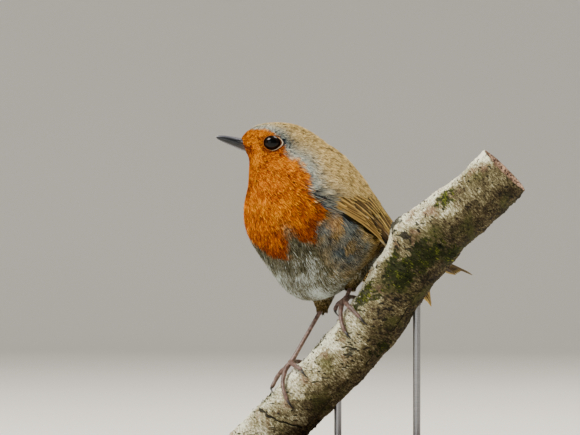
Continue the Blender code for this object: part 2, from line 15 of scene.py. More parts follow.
import bpy
import numpy as np
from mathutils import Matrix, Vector


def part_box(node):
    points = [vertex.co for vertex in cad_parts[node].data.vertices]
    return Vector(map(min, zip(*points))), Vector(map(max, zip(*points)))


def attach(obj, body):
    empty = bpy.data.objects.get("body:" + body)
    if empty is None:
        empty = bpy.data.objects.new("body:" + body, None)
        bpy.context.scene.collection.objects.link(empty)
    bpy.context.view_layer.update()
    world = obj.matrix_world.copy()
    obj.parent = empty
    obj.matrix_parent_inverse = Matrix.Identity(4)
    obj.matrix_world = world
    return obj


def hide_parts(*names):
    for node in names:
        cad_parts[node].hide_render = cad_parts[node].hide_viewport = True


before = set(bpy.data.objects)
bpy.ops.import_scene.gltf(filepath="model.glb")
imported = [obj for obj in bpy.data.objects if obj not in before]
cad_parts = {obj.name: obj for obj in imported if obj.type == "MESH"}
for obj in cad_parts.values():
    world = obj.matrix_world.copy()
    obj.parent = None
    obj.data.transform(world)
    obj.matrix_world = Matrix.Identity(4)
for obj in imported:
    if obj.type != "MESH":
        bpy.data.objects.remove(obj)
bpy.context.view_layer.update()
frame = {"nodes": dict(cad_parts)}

logging.basicConfig(level=logging.INFO, format="%(message)s")
LOG = logging.getLogger("robin")

Array = np.ndarray
Colour = tuple[float, float, float, float]
MM = 0.001
TURN = 2.0 * math.pi
UP = np.array([0.0, 0.0, 1.0])
FRONT = np.array([0.0, -1.0, 0.0])
# How far the unwraps keep from the edge of the map, and the share that is left.
MAP_EDGE = 0.02
MAP_SPAN = 0.96


# --- Number helpers --------------------------------------------------------------------------

def unit(vectors: Array) -> Array:
    """Vectors along the last axis, scaled to length one."""
    return vectors / np.maximum(np.linalg.norm(vectors, axis=-1, keepdims=True), 1e-9)


def dot(first: Array, second: Array) -> Array:
    """Dot products of the vectors along the last axis."""
    return np.einsum("...k,...k", first, second)


def smooth(low: float | Array, high: float | Array, values: Array) -> Array:
    """Smooth step 3t^2 - 2t^3 with t = (value - low) / (high - low), held within 0 and 1."""
    t = np.clip((values - low) / (high - low), 0.0, 1.0)
    return t * t * (3.0 - 2.0 * t)


def bump(values: Array, centre: float, reach: float) -> Array:
    """Bell curve exp(-((value - centre) / reach)^2)."""
    return np.exp(-(((values - centre) / reach) ** 2))


def off(degrees: Array, centre: float) -> Array:
    """How far angles are from a centre, -180 to 180 degrees."""
    return (degrees - centre + 180.0) % 360.0 - 180.0


def stacked(*values: Array | float) -> Array:
    """Numbers spread to one grid and stacked along a new last axis."""
    return np.stack(np.broadcast_arrays(*values), axis=-1)


def around(count: int) -> Array:
    """Angles of a full turn in equal steps, in radians."""
    return np.linspace(0.0, TURN, count, endpoint=False)


def lengths(line: Array) -> Array:
    """Length of a line from its start to each of its points."""
    return np.concatenate([[0.0], np.cumsum(np.linalg.norm(np.diff(line, axis=0), axis=1))])


def between(places: Array, marks: Array, rows: Array) -> Array:
    """Points read between the marks where they stand, held at both ends."""
    return np.stack([np.interp(places, marks, rows[:, k]) for k in range(3)], axis=-1)


def box_of(node: str) -> tuple[Array, Array]:
    """Lowest and highest corner of a CAD node, in millimetres."""
    low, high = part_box(node)
    return np.array(low) / MM, np.array(high) / MM


def ripples(points: Array, length: float, seed: int, waves: int = 8) -> Array:
    """Smooth unevenness: the sum of sine waves in random directions.

    Args:
        points: Places, with three numbers on the last axis.
        length: Typical wave length, in the unit of the places.
        seed: Seed of the directions and phases.
        waves: How many waves are summed.

    Returns:
        Heights mostly between -1 and 1.
    """
    random = np.random.default_rng(seed)
    ways = unit(random.normal(size=(waves, 3))) * (TURN / length)
    ways = ways * random.uniform(0.7, 1.5, size=(waves, 1))
    phases = random.uniform(0.0, TURN, size=waves)
    return np.sin(points @ ways.T + phases).sum(axis=-1) / math.sqrt(waves * 0.5) * 0.6


def streaks(stations: Array, degrees: Array, seed: int, waves: int = 14) -> Array:
    """Unevenness drawn out along a form: sine waves that are short round it and long along it.

    Args:
        stations: Places along the form.
        degrees: Angles round it.
        seed: Seed of the waves.
        waves: How many waves are summed.

    Returns:
        Heights mostly between -1 and 1.
    """
    random = np.random.default_rng(seed)
    total = 0.0
    for _ in range(waves):
        turn = random.uniform(1.4, 5.2) * degrees + random.normal(0.0, 1.1) * stations
        total = total + np.sin(turn + random.uniform(0.0, TURN))
    return total / 4.4


class Curve:
    """Natural cubic curve through rows of numbers that stand one unit apart."""

    def __init__(self, rows: Sequence[Sequence[float]]) -> None:
        """Solves the curve's second derivatives.

        Args:
            rows: The rows of numbers.
        """
        self.rows = np.asarray(rows, dtype=float)
        count = len(self.rows)
        system = np.eye(count)
        right = np.zeros_like(self.rows)
        for row in range(1, count - 1):
            system[row, row - 1:row + 2] = (1.0, 4.0, 1.0)
            right[row] = 6.0 * (self.rows[row - 1] - 2.0 * self.rows[row] + self.rows[row + 1])
        self.bend = np.linalg.solve(system, right.reshape(count, -1)).reshape(right.shape)

    def __call__(self, places: Array) -> Array:
        """Reads the curve: s a + t b + ((s^3 - s) a'' + (t^3 - t) b'') / 6 between rows a and b.

        Args:
            places: Where it is read, in rows from 0.

        Returns:
            One row of numbers for each place.
        """
        last = len(self.rows) - 1
        places = np.clip(np.asarray(places, dtype=float).ravel(), 0.0, last)
        low = np.minimum(places.astype(int), last - 1)
        t = (places - low).reshape((-1,) + (1,) * (self.rows.ndim - 1))
        s = 1.0 - t
        straight = s * self.rows[low] + t * self.rows[low + 1]
        return straight + ((s**3 - s) * self.bend[low] + (t**3 - t) * self.bend[low + 1]) / 6.0


def heading(yaw: Array, pitch: Array) -> tuple[Array, Array, Array]:
    """Directions of a body section turned by yaw about Z and tilted down backwards by pitch.

    Args:
        yaw: Degrees.
        pitch: Degrees.

    Returns:
        Backward, upward and leftward unit vectors.
    """
    yaw, pitch = np.radians(yaw), np.radians(pitch)
    level = stacked(np.cos(yaw), np.sin(yaw), 0.0)
    cosine, sine = np.cos(pitch)[..., None], np.sin(pitch)[..., None]
    left = stacked(np.sin(yaw), -np.cos(yaw), 0.0)
    return cosine * level - sine * UP, sine * level + cosine * UP, left


def path_frames(path: Array) -> tuple[Array, Array, Array]:
    """Direction of a path and two cross directions, carried along it without twist.

    Args:
        path: Points of the path.

    Returns:
        Unit vectors along the path and across it.
    """
    along = unit(np.gradient(path, axis=0))
    first = np.zeros_like(along)
    hint = UP if abs(along[0, 2]) < 0.9 else np.array([1.0, 0.0, 0.0])
    for index, direction in enumerate(along):
        hint = unit(hint - direction * np.dot(hint, direction))
        first[index] = hint
    return along, first, np.cross(along, first)


# --- Mesh helpers ----------------------------------------------------------------------------

def grid_faces(rows: int, columns: int, closed: bool, ring: bool = False) -> Array:
    """Four-cornered faces of a grid of points, row by row.

    Args:
        rows: Rows of points.
        columns: Points in a row.
        closed: True if the last column joins the first.
        ring: True if the last row joins the first too.

    Returns:
        Corner numbers, four for each face, that turn outwards where across x along points out.
    """
    index = np.arange(rows * columns).reshape(rows, columns)
    if ring:
        index = np.concatenate([index, index[:1]])
    following = np.roll(index, -1, axis=1)
    reach = columns if closed else columns - 1
    corners = [index[:-1, :reach], following[:-1, :reach], following[1:, :reach], index[1:, :reach]]
    return np.stack(corners, axis=-1).reshape(-1, 4)


@dataclass
class Shape:
    """Points and faces of a mesh, with numbers carried by its points."""

    points: Array
    faces: list[Array]
    marks: dict[str, Array] = field(default_factory=dict)
    uv: Array | None = None

    @classmethod
    def joined(cls, shapes: Sequence["Shape"]) -> "Shape":
        """Joins shapes that carry the same numbers into one.

        Args:
            shapes: The shapes, each with its unwrap.

        Returns:
            One shape.
        """
        starts = np.cumsum([0] + [len(shape.points) for shape in shapes])
        faces = [part + start for shape, start in zip(shapes, starts) for part in shape.faces]
        marks = {name: np.concatenate([shape.marks[name] for shape in shapes])
                 for name in shapes[0].marks}
        return cls(np.concatenate([shape.points for shape in shapes]), faces, marks,
                   np.concatenate([shape.uv for shape in shapes]))

    @classmethod
    def lofted(cls, rings: Array, marks: dict[str, Array], uv: Array | None = None) -> "Shape":
        """Closed surface through rings, whose two ends are closed by fans round their middles.

        Args:
            rings: Grid of points, ring by ring.
            marks: Numbers carried by the points, in the same grid.
            uv: Two numbers for each point, in the same grid.

        Returns:
            The shape, with its faces turned outwards.
        """
        rows, sides = rings.shape[:2]
        last = rows * sides
        side = np.arange(sides)
        following = np.roll(side, -1)
        first_cap = np.stack([following, side, np.full(sides, last)], axis=-1)
        end = last - sides
        last_cap = np.stack([end + side, end + following, np.full(sides, last + 1)], axis=-1)

        def capped(grid: Array) -> Array:
            """The grid's rows, and the middles of its first and last ring."""
            return np.concatenate([grid.reshape(last, -1), grid[[0, -1]].mean(axis=1)])

        carried = {name: capped(grid) for name, grid in marks.items()}
        return cls(capped(rings), [grid_faces(rows, sides, True), first_cap, last_cap], carried,
                   None if uv is None else capped(uv)).outward()

    @classmethod
    def ringed(cls, grid: Array, marks: dict[str, Array] | None = None) -> "Shape":
        """Closed ring through a grid that joins itself both ways.

        Args:
            grid: Points, row by row.
            marks: Numbers carried by the points, in the same grid.

        Returns:
            The shape, with its faces turned outwards.
        """
        carried = {name: mark.reshape(-1, 3) for name, mark in (marks or {}).items()}
        faces = grid_faces(*grid.shape[:2], True, True)
        return cls(grid.reshape(-1, 3), [faces], carried).outward()

    def outward(self) -> "Shape":
        """This shape, turned inside out if its volume, the sum of a . (b x c) / 6, is negative."""
        total = 0.0
        for part in self.faces:
            for corner in range(1, part.shape[1] - 1):
                a, b, c = (self.points[part[:, k]] for k in (0, corner, corner + 1))
                total += float(np.einsum("ij,ij->", a, np.cross(b, c))) / 6.0
        if total > 0.0:
            return self
        return Shape(self.points, [part[:, ::-1] for part in self.faces], self.marks, self.uv)

    def mesh(self, name: str) -> bpy.types.Mesh:
        """Makes the Blender mesh, in metres, with smooth shading.

        Args:
            name: Name of the mesh.

        Returns:
            The mesh.
        """
        made = bpy.data.meshes.new(name)
        corners = np.concatenate([part.ravel() for part in self.faces]).astype(np.int32)
        sizes = np.concatenate([np.full(len(part), part.shape[1]) for part in self.faces])
        made.vertices.add(len(self.points))
        made.vertices.foreach_set("co", (self.points * MM).astype(np.float32).ravel())
        made.loops.add(len(corners))
        made.loops.foreach_set("vertex_index", corners)
        made.polygons.add(len(sizes))
        made.polygons.foreach_set("loop_start", (np.cumsum(sizes) - sizes).astype(np.int32))
        made.update(calc_edges=True)
        for mark, values in self.marks.items():
            layer = made.attributes.new(mark, "FLOAT_VECTOR", "POINT")
            layer.data.foreach_set("vector", values.astype(np.float32).ravel())
        if self.uv is not None:
            layer = made.uv_layers.new(name="OFBake")
            layer.uv.foreach_set("vector", self.corner_uv().astype(np.float32).ravel())
        made.shade_smooth()
        return made

    def corner_uv(self) -> Array:
        """The unwrap for each face's corners. A face that wraps past the seam keeps to one side.

        Returns:
            Two numbers for each corner.
        """
        spots = [self.uv[part] for part in self.faces]
        for spot in spots:
            across = spot[..., 0]
            wraps = np.ptp(across, axis=1, keepdims=True) > 0.5
            across += MAP_SPAN * (wraps & (across < 0.5))
        return np.concatenate([spot.reshape(-1, 2) for spot in spots])


def add_object(name: str, data: bpy.types.ID) -> bpy.types.Object:
    """Puts an object with its data into the scene.

    Args:
        name: Name of the object.
        data: Its mesh, lamp or camera.

    Returns:
        The object.
    """
    made = bpy.data.objects.new(name, data)
    bpy.context.scene.collection.objects.link(made)
    return made


def add_piece(name: str, shape: Shape | bpy.types.Mesh,
              finish: bpy.types.Material | None = None, nodes: Sequence[str] = ()) -> None:
    """Puts a finished piece into the model.

    Args:
        name: Name of the piece.
        shape: Its shape, or its mesh, in place.
        finish: Its material, unless the mesh already has its own.
        nodes: CAD nodes that the piece stands for.
    """
    mesh = shape.mesh(name) if isinstance(shape, Shape) else shape
    piece = add_object(name, mesh)
    if finish:
        mesh.materials.append(finish)
    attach(piece, "root")
    if nodes:
        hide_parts(*nodes)
    mesh.calc_loop_triangles()
    LOG.info("%-22s %7d triangles", name, len(mesh.loop_triangles))


def tube(path: Array, radii: Array, sides: int) -> Array:
    """Rings of a round tube: centre + radius (cos a first + sin a second).

    Args:
        path: Middle line.
        radii: Radius at each point of the line, or at each point and side.
        sides: Points in a ring.

    Returns:
        Grid of points.
    """
    _, first, second = path_frames(path)
    angle = around(sides)[:, None]
    circle = np.cos(angle) * first[:, None] + np.sin(angle) * second[:, None]
    radii = radii[:, None] if radii.ndim == 1 else radii
    return path[:, None] + radii[..., None] * circle


# --- Shader helpers --------------------------------------------------------------------------

def paint(red: int, green: int, blue: int) -> Colour:
    """A colour given in display values of 0 to 255, as the linear light that shaders use.

    Args:
        red: Display red.
        green: Display green.
        blue: Display blue.

    Returns:
        Linear red, green, blue and alpha.
    """
    shown = (value / 255.0 for value in (red, green, blue))
    light = [v / 12.92 if v <= 0.04045 else ((v + 0.055) / 1.055) ** 2.4 for v in shown]
    return (light[0], light[1], light[2], 1.0)


class Value:
    """An output of a material's nodes. Arithmetic on it adds Math nodes."""

    def __init__(self, tree: "Tree", socket: bpy.types.NodeSocket) -> None:
        """Wraps a socket of a tree."""
        self.tree = tree
        self.socket = socket

    def math(self, operation: str, *values: "Value | float") -> "Value":
        """One Math node with these inputs."""
        return self.tree.node("ShaderNodeMath", {"operation": operation}, dict(enumerate(values)))

    def __add__(self, other: "Value | float") -> "Value":
        """This plus other."""
        return self.math("ADD", self, other)

    def __sub__(self, other: "Value | float") -> "Value":
        """This minus other."""
        return self.math("SUBTRACT", self, other)

    def __rsub__(self, other: float) -> "Value":
        """Other minus this."""
        return self.math("SUBTRACT", other, self)

    def __mul__(self, other: "Value | float") -> "Value":
        """This times other."""
        return self.math("MULTIPLY", self, other)

    def __pow__(self, other: "Value | float") -> "Value":
        """This to the power of other."""
        return self.math("POWER", self, other)

    __radd__ = __add__
    __rmul__ = __mul__

    def sine(self) -> "Value":
        """Sine of this."""
        return self.math("SINE", self)

    def size(self) -> "Value":
        """This without its sign."""
        return self.math("ABSOLUTE", self)

    def at_most(self, limit: float) -> "Value":
        """This, held at or under a limit."""
        return self.math("MINIMUM", self, limit)

    def step(self, low: float, high: float) -> "Value":
        """Smooth step from 0 at low to 1 at high, which is below low for a falling step."""
        limits = {"Value": self, "From Min": low, "From Max": high}
        return self.tree.node("ShaderNodeMapRange", {"interpolation_type": "SMOOTHSTEP"}, limits)


class Tree:
    """The nodes of one material, round its Principled shader."""

    def __init__(self, name: str, **constants: float) -> None:
        """Makes the material.

        Args:
            name: Name of the material.
            constants: Numbers for the shader's own sockets, with _ for each space.
        """
        self.material = bpy.data.materials.new(name)
        self.material.use_nodes = True
        self.shader = self.material.node_tree.nodes["Principled BSDF"]
        for key, value in constants.items():
            self.shader.inputs[key.replace("_", " ")].default_value = value

    def node(self, kind: str, settings: dict | None = None, inputs: dict | None = None,
             output: int | str = 0) -> Value:
        """Adds any node.

        Args:
            kind: The node's type.
            settings: Its properties, or the stops of a colour ramp.
            inputs: Values, links or constants by socket name or number.
            output: Which output is returned.

        Returns:
            That output.
        """
        made = self.material.node_tree.nodes.new(kind)
        for key, value in (settings or {}).items():
            if key == "stops":
                ramp = made.color_ramp.elements
                for _ in value[2:]:
                    ramp.new(0.5)
                for stop, (place, colour) in zip(ramp, value):
                    stop.position = place
                    stop.color = colour
            else:
                setattr(made, key, value)
        for key, value in (inputs or {}).items():
            self.join(made.inputs[key], value)
        return Value(self, made.outputs[output])

    def join(self, socket: bpy.types.NodeSocket, value: "Value | float | Colour") -> None:
        """Links or sets an input socket.

        Args:
            socket: The input.
            value: What it gets.
        """
        if isinstance(value, Value):
            self.material.node_tree.links.new(value.socket, socket)
        else:
            socket.default_value = value

    def ramp(self, factor: Value, stops: Sequence[tuple[float, Colour]]) -> Value:
        """Colour ramp, read at a factor, through stops of place and colour."""
        return self.node("ShaderNodeValToRGB", {"stops": stops}, {0: factor})

    def layers(self, colour: "Value | Colour",
               *coats: "tuple[Value | float, Value | Colour]") -> Value:
        """Lays colours over a first one.

        Args:
            colour: The first colour.
            coats: The share and colour of each one on top.

        Returns:
            The mixed colour.
        """
        for share, over in coats:
            inputs = {0: share, 6: colour, 7: over}
            colour = self.node("ShaderNodeMix", {"data_type": "RGBA"}, inputs, 2)
        return colour

    def mark(self, name: str) -> list[Value]:
        """The three numbers of a mark carried by the mesh."""
        vector = self.node("ShaderNodeAttribute", {"attribute_name": name}, output="Vector")
        parts = self.node("ShaderNodeSeparateXYZ", None, {0: vector}).socket.node
        return [Value(self, output) for output in parts.outputs]

    def noise(self, scale: float, detail: float, spot: Value | None = None) -> Value:
        """Noise between 0 and 1.

        Args:
            scale: Its fineness.
            detail: How many finer layers it has.
            spot: Where it is read, the plain place if not given.

        Returns:
            The noise.
        """
        inputs = {"Vector": spot or self.place(), "Scale": scale, "Detail": detail}
        return self.node("ShaderNodeTexNoise", None, inputs)

    def place(self, *scale: float) -> Value:
        """Object coordinates, scaled along each axis if three numbers are given."""
        spot = self.node("ShaderNodeTexCoord", output="Object")
        return self.node("ShaderNodeMapping", None, {"Vector": spot, "Scale": scale or (1, 1, 1)})

    def vector(self, x: "Value | float", y: "Value | float") -> Value:
        """A vector of two numbers and 0."""
        return self.node("ShaderNodeCombineXYZ", None, {0: x, 1: y})

    def relief(self, height: Value, distance: float) -> None:
        """Shades the surface as if raised by a height of 0 to 1, times a distance in metres."""
        bumped = self.node("ShaderNodeBump", None, {"Height": height, "Distance": distance})
        self.join(self.shader.inputs["Normal"], bumped)

    def finish(self, colour: "Value | Colour", roughness: "Value | float") -> bpy.types.Material:
        """Joins colour and roughness to the shader.

        Args:
            colour: Base colour.
            roughness: Roughness.

        Returns:
            The material.
        """
        self.join(self.shader.inputs["Base Color"], colour)
        self.join(self.shader.inputs["Roughness"], roughness)
        return self.material


# --- Forms -----------------------------------------------------------------------------------

class Form:
    """A surface of two numbers: a station along it and an angle round it, in degrees."""

    def points(self, stations: Array, degrees: Array, swell: float | Array = 0.0) -> Array:
        """Points of the surface, moved out by swell.

        Args:
            stations: Places along the form.
            degrees: Angles round it.
            swell: How far outside the surface, in millimetres.

        Returns:
            Points, with three numbers on the last axis.
        """
        raise NotImplementedError

    def unwrap(self, stations: Array, degrees: Array) -> Array:
        """Places on the flat unwrap of the form, two numbers within 0 and 1 for each."""
        raise NotImplementedError


class BodyForm(Form):
    """Head, neck and trunk in one: oval sections from the bill (0) to the tail coverts (13)."""

    # Place, turn and tilt of the backward line, half width, rise, drop, pear shape.
    SECTIONS = {
        "bill_base": (-49.8, -9.6, 129.8, 0.0, -22.0, 2.4, 2.6, 2.9, 0.00),
        "forehead": (-47.4, -9.6, 129.6, 0.0, 0.0, 5.4, 6.7, 6.6, 0.00),
        "lores": (-45.1, -9.4, 128.6, 1.0, 14.0, 7.4, 10.1, 10.4, -0.05),
        "eye": (-41.6, -9.0, 126.2, 3.0, 26.0, 9.3, 14.3, 14.6, 0.02),
        "ear": (-38.0, -8.4, 123.8, 8.0, 37.0, 11.6, 17.4, 17.8, 0.16),
        "neck": (-34.4, -7.2, 119.4, 18.0, 45.0, 15.8, 20.4, 20.6, 0.26),
        "shoulder": (-30.6, -4.6, 113.3, 29.0, 48.0, 20.6, 23.2, 23.2, 0.20),
        "breast": (-26.2, -1.2, 106.2, 35.0, 49.0, 23.6, 24.2, 25.2, 0.12),
        "belly": (-20.8, 3.4, 98.6, 38.0, 48.0, 24.4, 24.2, 26.0, 0.06),
        "hip": (-15.2, 7.8, 92.6, 38.0, 43.0, 23.0, 20.0, 28.2, 0.02),
        "vent": (-10.0, 12.0, 90.6, 38.0, 34.0, 20.4, 14.0, 27.8, 0.00),
        "rump": (-4.2, 16.6, 91.2, 38.0, 24.0, 14.2, 8.4, 18.6, 0.00),
        "tail_root": (3.4, 22.5, 91.8, 38.0, 19.0, 7.6, 4.4, 8.0, 0.00),
        "coverts": (13.0, 30.0, 89.0, 38.0, 19.0, 4.6, 2.2, 2.6, 0.00),
    }
    LAST = len(SECTIONS) - 1.0
    # Eye opening: half length and half height, how far its rear corner is drawn out, how far it
    # stands out from the globe's middle, and how deep the globe's bed is.
    EYE_SIZE = (3.26, 2.86)
    EYE_CORNER = 0.8
    EYE_RIM = 1.5
    EYE_BED = 1.4
    # The face dips to the opening within this share of its size, and only where it stands out
    # this far and isn't further behind the eye than this.
    DIP = 0.75
    DIP_OUT = 3.0
    DIP_BACK = 9.0

    def __init__(self) -> None:
        """Fits the curve through the sections and finds the left eye's middle and rim."""
        self.curve = Curve(list(self.SECTIONS.values()))
        self.eye = sum(box_of("eye_left")) / 2.0
        self.head_middle = self.SECTIONS["eye"][1]
        self.rim = abs(self.eye[1] - self.head_middle) + self.EYE_RIM

    def points(self, stations: Array, degrees: Array, swell: float | Array = 0.0) -> Array:
        """Centre + cos a (rise or drop) up + sin a (half width) (1 - pear cos a) left.

        Args:
            stations: Places along the body, 0 to 13.
            degrees: Angles from the back.
            swell: How far outside the surface.

        Returns:
            The points.
        """
        stations, degrees, swell = np.broadcast_arrays(stations, degrees, swell)
        values = self.curve(stations)
        yaw, pitch, half, rise, drop, pear = values[:, 3:].T
        angle, out = np.radians(degrees.ravel()), swell.ravel()
        _, up, left = heading(yaw, pitch)
        upward = np.cos(angle)
        wide = (half + out) * (1.0 - pear * upward)
        tall = np.where(upward > 0.0, rise, drop) + out
        points = values[:, :3] + (upward * tall)[:, None] * up
        points = points + (np.sin(angle) * wide)[:, None] * left
        return self.dipped(points).reshape(stations.shape + (3,))

    def corner(self, turn: Array) -> Array:
        """The opening's size at each way round it in radians: 1, and more at its rear corner."""
        return 1.0 + self.EYE_CORNER / self.EYE_SIZE[0] * np.maximum(np.cos(turn), 0.0) ** 8

    def opening(self, points: Array) -> Array:
        """Distance of points of the head from the eye's middle, seen from the side.

        Args:
            points: Points of the head.

        Returns:
            The distances, 1 on the rim of the opening.
        """
        along = (points[..., 0] - self.eye[0]) / self.EYE_SIZE[0]
        high = (points[..., 2] - self.eye[2]) / self.EYE_SIZE[1]
        return np.hypot(along, high) / self.corner(np.arctan2(high, along))

    def dipped(self, points: Array) -> Array:
        """Lowers the face round each eye to the rim of its opening.

        Args:
            points: Points of the body.

        Returns:
            The points, moved towards the middle of the head.
        """
        reach = self.opening(points)
        side = np.where(points[:, 1] < self.head_middle, -1.0, 1.0)
        out = np.abs(points[:, 1] - self.head_middle)
        held = self.rim - self.EYE_BED * np.clip(1.0 - reach, 0.0, 1.0)
        share = 1.0 - smooth(1.0, 1.0 + self.DIP, reach)
        near = (points[:, 0] < self.eye[0] + self.DIP_BACK) & (out > self.DIP_OUT)
        moved = np.where(near, np.minimum(out, out + share * (held - out)), out)
        result = points.copy()
        result[:, 1] = self.head_middle + side * moved
        return result

    def unwrap(self, stations: Array, degrees: Array) -> Array:
        """Angle across and station up."""
        across = (np.asarray(degrees) % 360.0) / 360.0
        return MAP_EDGE + MAP_SPAN * stacked(across, stations / self.LAST)


class ThighForm(Form):
    """The feathered thigh: a tapering tube from inside the body to the ankle."""

    RADII = (6.8, 6.2, 4.6, 2.1)
    ROWS = 24
    PAST_ANKLE = 0.6
    FURTHEST = 1.6
    STRIP = 0.44

    def __init__(self, hip: Array, ankle: Array, strip: float) -> None:
        """Lays the middle line.

        Args:
            hip: Upper end.
            ankle: Lower end.
            strip: Where its strip starts on the unwrap, across.
        """
        end = ankle + self.PAST_ANKLE * unit(ankle - hip)
        self.path = np.linspace(hip, end, self.ROWS)
        _, self.first, self.second = path_frames(self.path)
        self.strip = strip

    def points(self, stations: Array, degrees: Array, swell: float | Array = 0.0) -> Array:
        """Middle + (radius + swell) (cos a first + sin a second).

        Args:
            stations: 0 at the hip to 1 at the ankle.
            degrees: Angles round the leg.
            swell: How far outside the surface.

        Returns:
            The points.
        """
        stations, degrees, swell = np.broadcast_arrays(stations, degrees, swell)
        place = np.clip(stations, 0.0, self.FURTHEST) * (self.ROWS - 1.0)
        rows = np.arange(self.ROWS)
        held = np.clip(place, 0.0, rows[-1])
        path, first, second = (between(held, rows, grid)
                               for grid in (self.path, self.first, self.second))
        radius = np.interp(stations, np.linspace(0.0, 1.0, len(self.RADII)), self.RADII) + swell
        angle = np.radians(degrees)
        beyond = (place - held)[..., None] * (self.path[-1] - self.path[-2])
        return (path + beyond + (radius * np.cos(angle))[..., None] * first
                + (radius * np.sin(angle))[..., None] * second)

    def unwrap(self, stations: Array, degrees: Array) -> Array:
        """A strip of its own: angle across and station up."""
        across = self.strip + self.STRIP * (np.asarray(degrees) % 360.0) / 360.0
        return stacked(across, 0.05 + 0.9 * np.clip(stations, 0, 1))


class PerchForm(Form):
    """The cut branch: a tube with waves, swells and a knot. Angle 0 is its upper left."""

    LINE = ((-46.5, 6.0), (-39.2, 14.0), (-3.7, 51.7), (13.2, 76.2), (26.0, 92.4),
            (33.2, 100.2), (44.8, 110.3), (54.6, 119.8))
    LEAN = -0.19
    LEVEL_X = -25.0
    RADIUS = 11.7
    START = 10.9
    LENGTH = 146.0
    CUT_Z = 12.4
    # Waves in its thickness: height, waves round it, pace along it, and phase.
    WAVES = ((0.16, 3.0, 0.09, 0.0), (0.14, 5.0, -0.21, 0.0), (0.2, 2.0, 0.33, 0.0),
             (0.12, -1.0, 0.71, 0.0), (0.45, 0.0, 0.045, 3.6))
    # The knot: place along the perch and round it, swell, and reach below, above and sideways.
    KNOT_PLACE = 98.0
    KNOT_SIDE = 22.0
    KNOT_SWELL = 4.4
    KNOT_BELOW = 5.5
    KNOT_ABOVE = 12.0
    KNOT_BREADTH = 70.0
    # The unwrap starts this far below distance 0, and is this much longer than the perch.
    MAP_START = 20.0
    MAP_MORE = 24.0

    def __init__(self) -> None:
        """Lays the middle line, which leans towards the front as it climbs."""
        steps = np.linspace(0.0, len(self.LINE) - 1.0, 400)
        flat = Curve(self.LINE)(steps)
        lean = self.LEAN * (flat[:, 0] - self.LEVEL_X)
        self.fine = np.stack([flat[:, 0], lean, flat[:, 1]], axis=1)
        self.run = lengths(self.fine) - self.START
        self.slopes = np.gradient(self.fine, self.run, axis=0)

    def axes(self, distances: Array) -> tuple[Array, Array, Array, Array]:
        """Middle, direction, upper-left side and front side at distances along the perch.

        Args:
            distances: Distances along the perch.

        Returns:
            A point and three unit vectors for each.
        """
        along = unit(between(distances, self.run, self.slopes))
        front = unit(FRONT - along * (along @ FRONT)[..., None])
        middle = between(distances, self.run, self.fine)
        return middle, along, unit(np.cross(front, along)), front

    def radius(self, distances: Array, degrees: Array) -> Array:
        """Plain radius + waves round and along it + the knot's bell.

        Args:
            distances: Distances along the perch.
            degrees: Angles round it.

        Returns:
            The radii.
        """
        angle = np.radians(degrees)
        waves = sum(height * np.sin(sides * angle + pace * distances + phase)
                    for height, sides, pace, phase in self.WAVES)
        reach = np.where(distances < self.KNOT_PLACE, self.KNOT_BELOW, self.KNOT_ABOVE)
        knot = bump(distances, self.KNOT_PLACE, reach)
        knot = knot * bump(off(degrees, self.KNOT_SIDE), 0.0, self.KNOT_BREADTH)
        return self.RADIUS + waves + self.KNOT_SWELL * knot

    def points(self, stations: Array, degrees: Array, swell: float | Array = 0.0) -> Array:
        """Middle + (radius + swell) (cos a side + sin a front).

        Args:
            stations: Distances along the perch.
            degrees: Angles round it.
            swell: How far outside the surface.

        Returns:
            The points.
        """
        stations, degrees, swell = np.broadcast_arrays(stations, degrees, swell)
        middle, _, side, front = self.axes(stations)
        radius = (self.radius(stations, degrees) + swell)[..., None]
        angle = np.radians(degrees)[..., None]
        return middle + radius * (np.cos(angle) * side + np.sin(angle) * front)

    def unwrap(self, stations: Array, degrees: Array) -> Array:
        """Angle across and distance up."""
        up = (np.asarray(stations) + self.MAP_START) / (self.LENGTH + self.MAP_MORE)
        return MAP_EDGE + MAP_SPAN * stacked((np.asarray(degrees) % 360.0) / 360.0, up)

    def depth(self, points: Array) -> tuple[Array, Array]:
        """How far points lie inside the perch.

        Args:
            points: Any points.

        Returns:
            Depth below its surface, and the outward direction at each.
        """
        axis = unit(self.fine[-1] - self.fine[0])
        guess = np.interp(points @ axis, self.fine @ axis, self.run)
        for _ in range(2):
            middle, along, _, _ = self.axes(guess)
            guess = guess + dot(points - middle, along)
        middle, along, side, front = self.axes(guess)
        out = points - middle
        out = out - along * dot(out, along)[..., None]
        turn = np.degrees(np.arctan2(dot(out, front), dot(out, side)))
        away = np.linalg.norm(out, axis=-1)
        return self.radius(guess, turn) - away, out / np.maximum(away, 0.1)[..., None]

    def cleared(self, points: Array, margin: float) -> Array:
        """Moves points that are inside the perch, or nearly so, straight out of it.

        Args:
            points: Any points.
            margin: Least distance from the surface.

        Returns:
            The points.
        """
        flat = points.reshape(-1, 3)
        low, high = box_of("perch_branch")
        near = np.flatnonzero(np.all((flat > low - 2.0) & (flat < high + 2.0), axis=1))
        result = flat.copy()
        if len(near):
            depth, out = self.depth(flat[near])
            result[near] += out * np.maximum(depth + margin, 0.0)[:, None]
        return result.reshape(points.shape)


